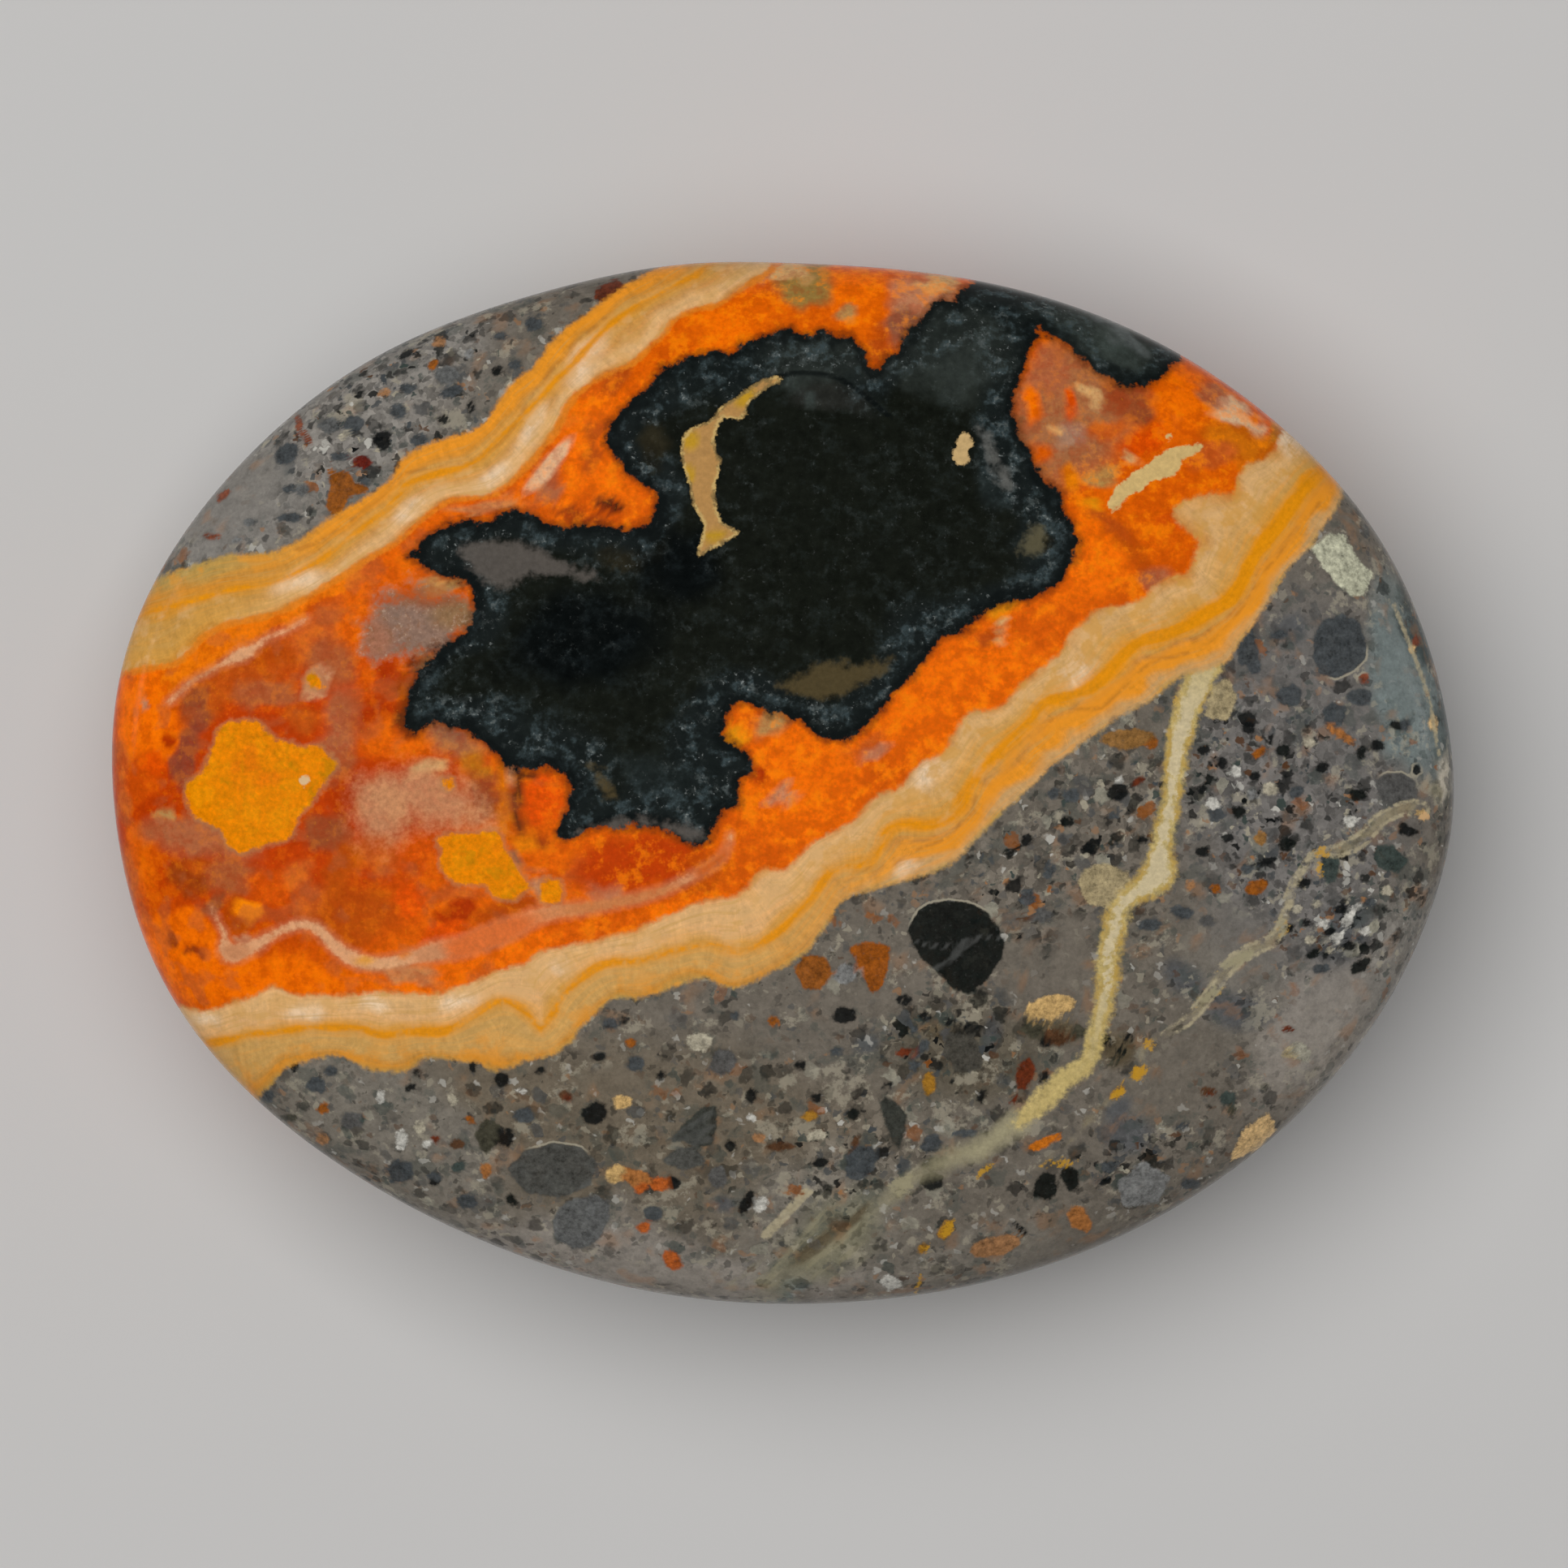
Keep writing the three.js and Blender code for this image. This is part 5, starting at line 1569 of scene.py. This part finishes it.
# Lumps of golden orpiment, a yellow ore of arsenic, near the left end. Its grains grew in bunches, sharp
# against the red round them.
GOLD = {
    "grain": (232, 132, 2),
    "bright grain": (236, 148, 8),
    "ember": (226, 104, 10),
    "green": (168, 122, 8),
    "edge": (178, 128, 84),
    "pale": (222, 186, 140),
}
GOLD_LUMPS = (
    (
        (-28, 2.2), (-27.9, 2.6), (-27.4, 3), (-26.8, 3.1), (-26, 3), (-25.6, 2.6), (-25.1, 2.1),
        (-24.4, 2), (-23.8, 1.7), (-23, 1.8), (-22.5, 1.5), (-22, 0.9), (-22.4, 0.3), (-22.8, -0.3),
        (-23.3, -1), (-23.8, -1.5), (-24, -2.2), (-24.4, -2.7), (-25.2, -2.9), (-26, -3.2), (-26.8, -3.4),
        (-27.4, -3), (-27.6, -2.5), (-28.2, -2.1), (-28.9, -1.7), (-29.3, -1.1), (-29.5, -0.3),
        (-29.2, 0.2), (-28.7, 0.5), (-28.4, 1.1), (-28.2, 1.7),
    ),
    (
        (-17.2, -2.9), (-16.7, -2.5), (-15.8, -2.5), (-15, -2.4), (-14.4, -2.2), (-13.9, -2.5),
        (-13.8, -3.1), (-13.5, -3.6), (-13.2, -4.2), (-12.8, -4.8), (-12.7, -5.2), (-13.2, -5.7),
        (-13.8, -5.8), (-14.3, -5.5), (-14.6, -5.1), (-15.4, -5), (-16.2, -5), (-16.6, -4.6), (-17, -4),
        (-16.9, -3.4),
    ),
    ((-23.6, 5.3), (-23.2, 5.5), (-22.8, 5.1), (-22.5, 4.7), (-22.9, 4.7), (-23.5, 4.8)),
    ((-12, -4.8), (-11.2, -4.7), (-10.9, -5.2), (-10.9, -5.8), (-11.5, -6), (-12, -5.8)),
    ((-16.9, 0.3), (-16.4, 0.2), (-16.3, -0.2), (-16.8, -0.3)),
)
lump_places = drawn + crinkle * 0.2
keep("gold_lump", np.max([depth_in(outline, lump_places) for outline in GOLD_LUMPS], axis=0))
# A pale spot in the largest lump
PALE_SPOT = (-23.6, 0.1)
PALE_SPOT_SIZE = 0.3
pale_gap = np.hypot(*((lump_places - PALE_SPOT) * (1.3, 0.9)).T)
keep("pale_spot", PALE_SPOT_SIZE - pale_gap)

lump_depth = kept("gold_lump") + (tufts - 0.5) * 0.6
gold = laid(colour_of("grain", GOLD), colour_of("bright grain", GOLD), flames.over(0.48, 0.62) * 0.6)
gold = laid(gold, colour_of("ember", GOLD), (drift + (flames - 0.5) * 5.0).over(0.8, 2.2) * 0.45)
gold = laid(gold, colour_of("green", GOLD), (drift_two + (tufts - 0.5) * 5.0).over(1.0, 2.4) * 0.5)
gold = brightened(gold, 0.3 + powder * 0.8 + tufts * 0.6)
gold = laid(gold, colour_of("pale", GOLD), (kept("pale_spot") + (tufts - 0.5) * 0.8).over(-0.05, 0.1))
body = laid(body, colour_of("edge", GOLD), lump_depth.over(-0.28, -0.04) * 0.45)
body = laid(body, gold, lump_depth.over(-0.08, 0.12))


# The black body in the middle of the vein: crystals of iron and manganese ore in calcite. Its ragged rim
# is a band of glittering blue-grey crystals, with their glints painted as pale specks, its middle is
# smooth and nearly black, and pale strips are shut in it.
BLACK = {
    "core": (25, 28, 22),
    "deep": (13, 17, 17),
    "crystal": (38, 45, 44),
    "blue crystal": (60, 72, 75),
    "grey crystal": (94, 100, 98),
    "crystal glint": (142, 148, 146),
    "lit": (46, 47, 43),
    "green grey": (56, 62, 58),
    "stain": (84, 40, 12),
    "grey patch": (92, 86, 80),
    "olive patch": (84, 72, 46),
    "smudge": (50, 46, 32),
    "smoky olive": (94, 88, 66),
    "strip": (180, 136, 80),
    "strip gold": (190, 146, 40),
    "dot": (200, 168, 116),
    "needle": (212, 180, 118),
    "strip rim": (206, 176, 112),
    "grey streak": (98, 98, 94),
    "bottle": (66, 74, 69),
}
BLACK_OUTLINE = (
    (-18.5, 11.1), (-17.6, 11.8), (-17, 12.5), (-16.2, 12.9), (-15.2, 13), (-14.3, 13.3), (-13.4, 13.5),
    (-12.6, 13.3), (-12, 12.9), (-11, 12.7), (-10, 12.8), (-9, 12.8), (-8.4, 12.7), (-7.6, 12.6),
    (-6.8, 12.8), (-6.4, 13.4), (-6.2, 14.1), (-6.6, 14.7), (-7.3, 15), (-8, 15.4), (-8.5, 16),
    (-8.8, 16.8), (-8.5, 17.7), (-8, 18.4), (-7.3, 19), (-6.6, 19.6), (-6, 20.2), (-5.3, 20.8),
    (-4.6, 21.2), (-3.8, 21.3), (-3.2, 21.2), (-2.6, 21), (-2.2, 21.1), (-1.9, 21.6), (-1.4, 21.8),
    (-0.8, 22), (-0.2, 22.2), (0.4, 22.4), (0.8, 22.1), (1.4, 22), (1.9, 22.3), (2.6, 22), (3.2, 22),
    (3.7, 21.6), (4.1, 21.1), (4.3, 20.6), (4.7, 20.4), (4.9, 20.9), (5.6, 21.4), (6, 22), (6.6, 22.6),
    (7, 23.3), (7.6, 23.8), (8.4, 24), (8.8, 24.4), (9.4, 24.7), (9.8, 27.5), (22, 25), (19.6, 20.9),
    (19, 20.4), (18.5, 19.9), (17.8, 19.5), (17, 19.5), (16.2, 19.9), (15.4, 20.3), (14.8, 20.8),
    (14.3, 21.3), (13.8, 21.7), (13.3, 22.1), (12.6, 22.4), (12.3, 21.6), (11.9, 21), (11.6, 20.2),
    (11.5, 19.5), (11.2, 19), (11.2, 18.2), (11.6, 17.8), (11.7, 17), (12, 16.2), (12.6, 15.5), (13.1, 15),
    (13.6, 14.5), (13.6, 13.9), (14, 13.3), (14.4, 12.6), (14.5, 11.8), (14.2, 11.2), (14.1, 10.5),
    (13.6, 9.9), (13, 9.5), (12.2, 9.2), (11.4, 9), (10.6, 8.8), (9.6, 8.3), (9.2, 7.9), (8.6, 7.5),
    (8, 7.2), (7.6, 6.7), (7.2, 6.2), (6.8, 5.8), (6.4, 5.2), (6, 4.8), (5.4, 4.4), (4.9, 3.9), (4.5, 3.4),
    (4.2, 2.9), (3.8, 2.4), (3.2, 2.1), (2.4, 2.1), (1.8, 2.3), (1.3, 2.7), (0.8, 3), (0.3, 3.1),
    (-0.3, 3.4), (-0.8, 3.7), (-1.4, 4), (-2, 4.1), (-2.6, 3.8), (-2.9, 3.2), (-2.8, 2.7), (-3.2, 2.4),
    (-2.6, 2.1), (-2.1, 1.6), (-1.7, 1.1), (-1.6, 0.6), (-2, 0.2), (-2.2, -0.4), (-2, -1), (-2.6, -1.2),
    (-3.2, -1.6), (-3.5, -2.2), (-3.6, -2.8), (-4.2, -3), (-4.9, -2.9), (-5.6, -2.5), (-6.3, -2.2),
    (-7.2, -2.1), (-8, -2.2), (-8.8, -2.2), (-9.6, -2.3), (-10.4, -2.6), (-10.9, -2.8), (-11.2, -2.4),
    (-10.7, -1.9), (-10.4, -1.2), (-10.4, -0.4), (-10.6, 0.2), (-11, 0.5), (-11.6, 0.8), (-12.3, 0.7),
    (-12.9, 0.5), (-13.4, 0.7), (-13.8, 1), (-14.2, 1.4), (-14.7, 2), (-15.3, 2.6), (-16.2, 2.9),
    (-17.3, 3.1), (-17.9, 2.7), (-18.3, 2.4), (-18.7, 2.8), (-18.8, 3.4), (-18.6, 4), (-18.2, 4.7),
    (-17.9, 5.4), (-17.6, 5.9), (-17.2, 6.3), (-17.2, 6.8), (-16.6, 7.1), (-15.9, 7.2), (-15.4, 7.6),
    (-15.1, 8.3), (-15.2, 9), (-15.4, 9.6), (-16.2, 10.1), (-17, 10.5), (-17.8, 10.8),
)
PATCHES = (
    ("grey patch", (
        (-15.9, 11.3), (-15.6, 11.9), (-14.6, 12.1), (-13.6, 12), (-12.6, 11.9), (-11.8, 11.4),
        (-10.6, 10.8), (-9.4, 10.5), (-9, 10.2), (-9.8, 10.1), (-10.8, 10.2), (-12.6, 10.2), (-13.2, 9.8),
        (-14.2, 9.5), (-14.8, 9.8), (-15.2, 10.3), (-15.8, 10.8),
    )),
    ("olive patch", (
        (-0.3, 4.8), (0.8, 5.3), (1.6, 5.8), (2.6, 5.95), (3.6, 5.9), (4.6, 6), (5.4, 6.2), (5, 5.6),
        (4.2, 5), (3.4, 4.5), (2.6, 4.1), (1.8, 4), (0.8, 4.3), (0, 4.5),
    )),
    ("grey patch", (
        (-10.2, -2.4), (-8.6, -1.9), (-7, -1.7), (-5.4, -2), (-4, -2.4), (-4.4, -2.9), (-6, -2.3),
        (-8, -2.4), (-9.6, -2.6),
    )),
    ("grey streak", (
        (9.6, 17.5), (10.2, 17.1), (10.9, 15.9), (11.5, 14.6), (11, 14.5), (10.3, 15.5), (9.7, 16.8),
    )),
    ("smoky olive", (
        (12.6, 12.7), (12.9, 12.2), (12.7, 11.4), (12.1, 11.1), (11.5, 11.3), (11.7, 11.9), (12.1, 12.6),
    )),
    ("olive patch", (
        (-9.5, 1.1), (-9.2, 0.9), (-8.6, 0), (-8.2, -0.6), (-8.6, -0.7), (-9.1, 0), (-9.6, 0.8),
    )),
)
PALE_PIECES = (
    ("strip", (
        (0, 20.1), (-0.8, 20), (-1.6, 19.6), (-2.2, 19.1), (-2.9, 18.7), (-3.3, 18.3), (-3.7, 17.9),
        (-4.4, 17.6), (-4.9, 17.2), (-5.1, 16.5), (-5, 15.6), (-4.7, 14.8), (-4.6, 14), (-4.3, 13.4),
        (-4, 12.8), (-4.1, 12), (-4.3, 11.4), (-4.2, 11.1), (-3.6, 11.5), (-3, 11.8), (-2.4, 12.1),
        (-2.1, 12.5), (-2.6, 12.6), (-3.1, 13), (-3.3, 13.6), (-3.4, 14.4), (-3.2, 15.2), (-3.1, 16),
        (-3.4, 16.6), (-3.3, 17.4), (-3, 18), (-2.3, 17.9), (-1.8, 18.2), (-1.7, 18.7), (-1.2, 19.1),
        (-0.6, 19.6), (-0.1, 19.7),
    )),
    ("dot", (
        (8.9, 17.3), (8.6, 17), (8.5, 16.6), (8.3, 16.3), (8.5, 15.8), (8.9, 15.7), (9.2, 15.9),
        (9.1, 16.4), (9.4, 16.7), (9.2, 17.1),
    )),
    ("needle", (
        (16, 13.6), (16.2, 14.3), (16.9, 15), (17.7, 15.6), (18.4, 16.1), (19, 16.5), (19.7, 16.6),
        (20.7, 16.75), (20.6, 16.4), (20.1, 16.1), (19.7, 15.9), (19.4, 15.3), (18.9, 15), (18.1, 14.9),
        (17.7, 14.4), (17.1, 14.2), (16.7, 13.7), (16.3, 13.3),
    )),
    ("needle", ((18.8, 17.1), (19, 17.25), (19.2, 17.1), (19, 16.85))),
)
BLACK_FADE = 0.25
RIM_BAND = 1.7
RIM_BAND_CHANGE = 1.6
black_places = drawn + crinkle * 0.15
black_depth = depth_in(BLACK_OUTLINE, black_places, smoothed=False)
keep("black", black_depth - BLACK_FADE * below)
rim_width = RIM_BAND + wandering(4.0, 30.0)[:, 2] * RIM_BAND_CHANGE
core = eased(black_depth, rim_width * 0.55, rim_width * 1.35)
crystal_light = light_of(BLACK["crystal"])
black_paint = crystal_light + core[:, None] * (light_of(BLACK["core"]) - crystal_light)
dab(black_paint, BLACK, [
    (3, 21, 8, 2.4, 0, "green grey"),
    (8.6, 21.6, 5, 5, 40, "green grey"),
    (12.6, 11.2, 3, 4.4, 0, "crystal"),
    (10.8, 16, 2, 5, 0, "crystal"),
    (-5, 0, 5, 4, 0, "crystal"),
    (2.4, 19, 4.6, 2, -12, "lit"),
    (1.3, 18.9, 0.7, 1.6, 0, "green grey"),
    (15.6, 22, 7, 3.4, -28, "bottle"),
    (17.6, 21.4, 2.4, 1, -35, "grey crystal"),
    (16.2, 22.6, 2, 0.7, -30, "grey crystal"),
    (-6.3, 16.5, 1.6, 1.4, 0, "smudge"),
    (-8, 11.5, 2.2, 1.2, 0, "smudge"),
    (12.3, 11.8, 1, 1.4, 0, "smudge"),
    (-5.5, 11, 4, 3.6, 0, "deep"),
    (-10, 7, 8, 5, 20, "deep"),
], drawn + crinkle * 2)
keep("black_paint", black_paint)
keep("black_core", core)
# A dark arc parts the smooth middle from the crystals above it
DARK_ARC = ((-0.4, 20.0), (0.4, 20.2), (1.4, 20.2), (2.6, 20.0), (3.6, 19.4), (4.6, 18.6), (5.3, 18.0))
ARC_HALF_WIDTH = 0.14
arc_gap, _ = nearest(smooth(DARK_ARC), drawn)
keep("dark_arc", ARC_HALF_WIDTH - arc_gap)

# Far enough outside that nothing shows there
FAR_OUTSIDE = -5.0


def shut_in(pieces, where):
    """Millimetres inside the nearest of the pieces at every place, and the colour of that piece"""
    deepest = np.full(len(places), FAR_OUTSIDE)
    paint = plain_coat(BLACK[pieces[0][0]])
    for name, outline in pieces:
        depth = depth_in(outline, where)
        nearer = depth > deepest
        deepest[nearer] = depth[nearer]
        paint[nearer] = light_of(BLACK[name])
    return deepest, paint


patch_depth, patch_paint = shut_in(PATCHES, black_places)
keep("black_patch", patch_depth)
keep("black_patch_paint", patch_paint)
pale_depth, pale_paint = shut_in(PALE_PIECES, drawn + crinkle * 0.08)
dab(pale_paint, BLACK, [
    (-1.9, 19, 1.2, 0.8, 40, "strip gold"),
    (-4.6, 16.9, 0.9, 1, 0, "strip gold"),
    (-4.7, 15.2, 0.7, 1, 0, "strip gold"),
    (-3.4, 12.2, 1.2, 0.6, 10, "strip gold"),
], drawn)
keep("pale_piece", np.where(shallow, pale_depth, FAR_OUTSIDE))
keep("pale_piece_paint", pale_paint)
keep("strip_rim", (drawn[:, 0] < 2) * 1.0)

lobes = drift_three * 0.16
black_edge = kept("black") + fray * 0.7 + (powder - 0.5) * 0.4 + lobes * 0.6
dark = brightened(kept("black_paint", "Color"), (flames * 1.1 + tufts * 0.7 - 0.06).largest(0.15))
glitter_amount = 1 - kept("black_core") * 0.9
inside_band = (kept("black") + lobes + fray * 0.4).over(0.3, 0.8)
dark = laid(dark, colour_of("deep", BLACK), (1 - inside_band) * 0.8)
glitter = glitter_amount * (0.14 + inside_band * 0.86)
bunch = (clumps + (flames - 0.5) * 0.5 + drift_two * 0.03).over(0.46, 0.62)
frost = tufts + drift * 0.03
dark = laid(dark, colour_of("deep", BLACK), (1 - bunch) * glitter * 0.5)
blue_share = bunch * (tufts * 0.5 + flames * 0.5).over(0.42, 0.56) * glitter
blue_share *= 0.4 + specks.over(0.4, 0.6) * 0.55
dark = laid(dark, colour_of("blue crystal", BLACK), blue_share)
grey_share = frost.over(0.54, 0.68) * (0.2 + bunch * 0.8) * glitter
dark = laid(dark, colour_of("grey crystal", BLACK), grey_share * 0.7)
# Painted glints: pale specks where the crystals of the rim band catch the light
painted_glints = specks.over(0.6, 0.72) * frost.over(0.48, 0.6)
dark = laid(dark, colour_of("crystal glint", BLACK), painted_glints * (0.02 + glitter * 0.6))
dark = laid(dark, colour_of("deep", BLACK), kept("dark_arc").over(-0.06, 0.08) * 0.8)
patch_share = (kept("black_patch") + (flames - 0.5) * 1.6).over(-0.25, 0.4)
dark = laid(dark, brightened(kept("black_patch_paint", "Color"), 0.65 + powder * 0.6), patch_share * 0.9)
body = laid(body, colour_of("stain", BLACK), black_edge.over(-0.42, -0.02) * 0.6)
body = laid(body, dark, black_edge.over(-0.08, 0.1))
pale_edge = kept("pale_piece") + (tufts - 0.5) * 0.3 + (powder - 0.5) * 0.3
pale_share = pale_edge.over(-0.05, 0.08)
pale_colour = brightened(kept("pale_piece_paint", "Color"), 0.6 + powder * 0.5 + tufts * 0.3)
rim_share = (1 - (pale_edge - 0.08).over(0.0, 0.16)) * kept("strip_rim")
olive_share = flames.over(0.46, 0.58) * 0.8
rim_colour = laid(colour_of("strip rim", BLACK), colour_of("olive patch", BLACK), olive_share)
pale_colour = laid(pale_colour, rim_colour, rim_share * 0.8)
body = laid(body, colour_of("deep", BLACK), pale_edge.over(-0.2, 0.0) * kept("strip_rim") * 0.45)
body = laid(body, pale_colour, pale_share)
surface = laid(rock, body, in_border)


# The polish. The whole stone was tumbled to a high gloss, which is a little duller on the soft grey mud,
# and its finest grain stands out by a few thousandths of a millimetre.
BEST_POLISH = 0.13
ROCK_DULLNESS = 0.05
GRIT_DULLNESS = 0.07
GRAIN_HEIGHT = 0.1 * MM
GRAIN_STRENGTH = 0.06
CALCITE_IOR = 1.5
FILTERED_SHINE = 0.05
gloss = BEST_POLISH + (1 - in_border) * ROCK_DULLNESS + grit * GRIT_DULLNESS
relief = Wire.node(
    "ShaderNodeBump",
    {},
    {"Strength": GRAIN_STRENGTH, "Distance": GRAIN_HEIGHT, "Height": grit},
)
shader = Wire.node(
    "ShaderNodeBsdfPrincipled",
    {},
    {
        "Base Color": surface,
        "Roughness": gloss,
        "IOR": CALCITE_IOR,
        "Specular IOR Level": FILTERED_SHINE,
        "Normal": relief,
    },
)
Wire.node("ShaderNodeOutputMaterial", {}, {"Surface": shader})
stone_mesh.materials.append(finish)


# A plain pale table top, which the stone lies on. It is one flat matt sheet, wide enough to fill every
# view.
FLOOR_HALF = 1.5
FLOOR_COLOUR = (0.62, 0.61, 0.6, 1)
FLOOR_ROUGHNESS = 0.9
floor_mesh = bpy.data.meshes.new("floor")
floor_corners = [(x * FLOOR_HALF, y * FLOOR_HALF, 0) for x, y in ((-1, -1), (1, -1), (1, 1), (-1, 1))]
floor_mesh.from_pydata(floor_corners, [], [(0, 1, 2, 3)])
floor = bpy.data.objects.new("floor", floor_mesh)
bpy.context.scene.collection.objects.link(floor)
floor_finish = bpy.data.materials.new("pale_floor")
floor_finish.use_nodes = True
floor_shader = floor_finish.node_tree.nodes["Principled BSDF"]
floor_shader.inputs["Base Color"].default_value = FLOOR_COLOUR
floor_shader.inputs["Roughness"].default_value = FLOOR_ROUGHNESS
floor_mesh.materials.append(floor_finish)


# Plain studio light. The large soft lamp overhead is polarised and the lens has a filter against it, so
# it lights the stone without a reflection in the polish. Only the small low lamps show, as thin lines
# on the rounded edge.
# Each lamp is a turn, a tilt from straight above, a width, a height, a strength, and whether it shows
LAMPS = (
    (150, 12, 0.60, 0.60, 4.4, False),
    (162, 80, 0.40, 0.012, 0.40, True),
    (14, 77, 0.40, 0.012, 0.34, True),
    (8, 84, 0.10, 0.10, 0.30, True),
    (-42, 78, 0.20, 0.20, 0.24, True),
    (95, 80, 0.14, 0.14, 0.10, True),
)
LAMP_DISTANCE = 0.7
for number, (turn, tilt, lamp_width, lamp_height, strength, shows) in enumerate(LAMPS):
    lamp = bpy.data.lights.new(f"lamp_{number + 1}", "AREA")
    lamp.shape = "RECTANGLE"
    lamp.size = lamp_width
    lamp.size_y = lamp_height
    lamp.energy = strength
    holder = bpy.data.objects.new(lamp.name, lamp)
    holder.visible_glossy = shows
    across_ground = LAMP_DISTANCE * math.sin(math.radians(tilt))
    holder.location = (
        across_ground * math.cos(math.radians(turn)),
        across_ground * math.sin(math.radians(turn)),
        LAMP_DISTANCE * math.cos(math.radians(tilt)),
    )
    holder.rotation_euler = (-holder.location).to_track_quat("-Z", "Y").to_euler()
    bpy.context.scene.collection.objects.link(holder)

# A faint even light from all round, which the polish does not reflect
SKY_STRENGTH = 0.09
world = bpy.data.worlds.new("studio")
world.use_nodes = True
background = world.node_tree.nodes["Background"]
background.inputs["Color"].default_value = (1, 1, 1, 1)
background.inputs["Strength"].default_value = SKY_STRENGTH
bpy.context.scene.world = world
world.cycles_visibility.glossy = False
# Colours are shown as they are, with no film look
bpy.context.scene.view_settings.view_transform = "Standard"


# The camera looks straight down on the middle of the stone, with its long side across the picture. It
# stands about as far off as an eye does, so the rounded edge looks as it does in the hand.
PICTURE_WIDTH = 77.28
SENSOR = 36.0
PICTURE_MIDDLE = (0.02, -0.04)
camera = bpy.data.cameras.new("camera")
camera.sensor_width = SENSOR
camera.lens = SENSOR * EYE_HEIGHT / PICTURE_WIDTH
camera.clip_start = 0.01
camera.clip_end = 10
eye = bpy.data.objects.new("camera", camera)
eye.location = Vector((*PICTURE_MIDDLE, RIM_LEVEL + EYE_HEIGHT)) * MM
bpy.context.scene.collection.objects.link(eye)
bpy.context.scene.camera = eye
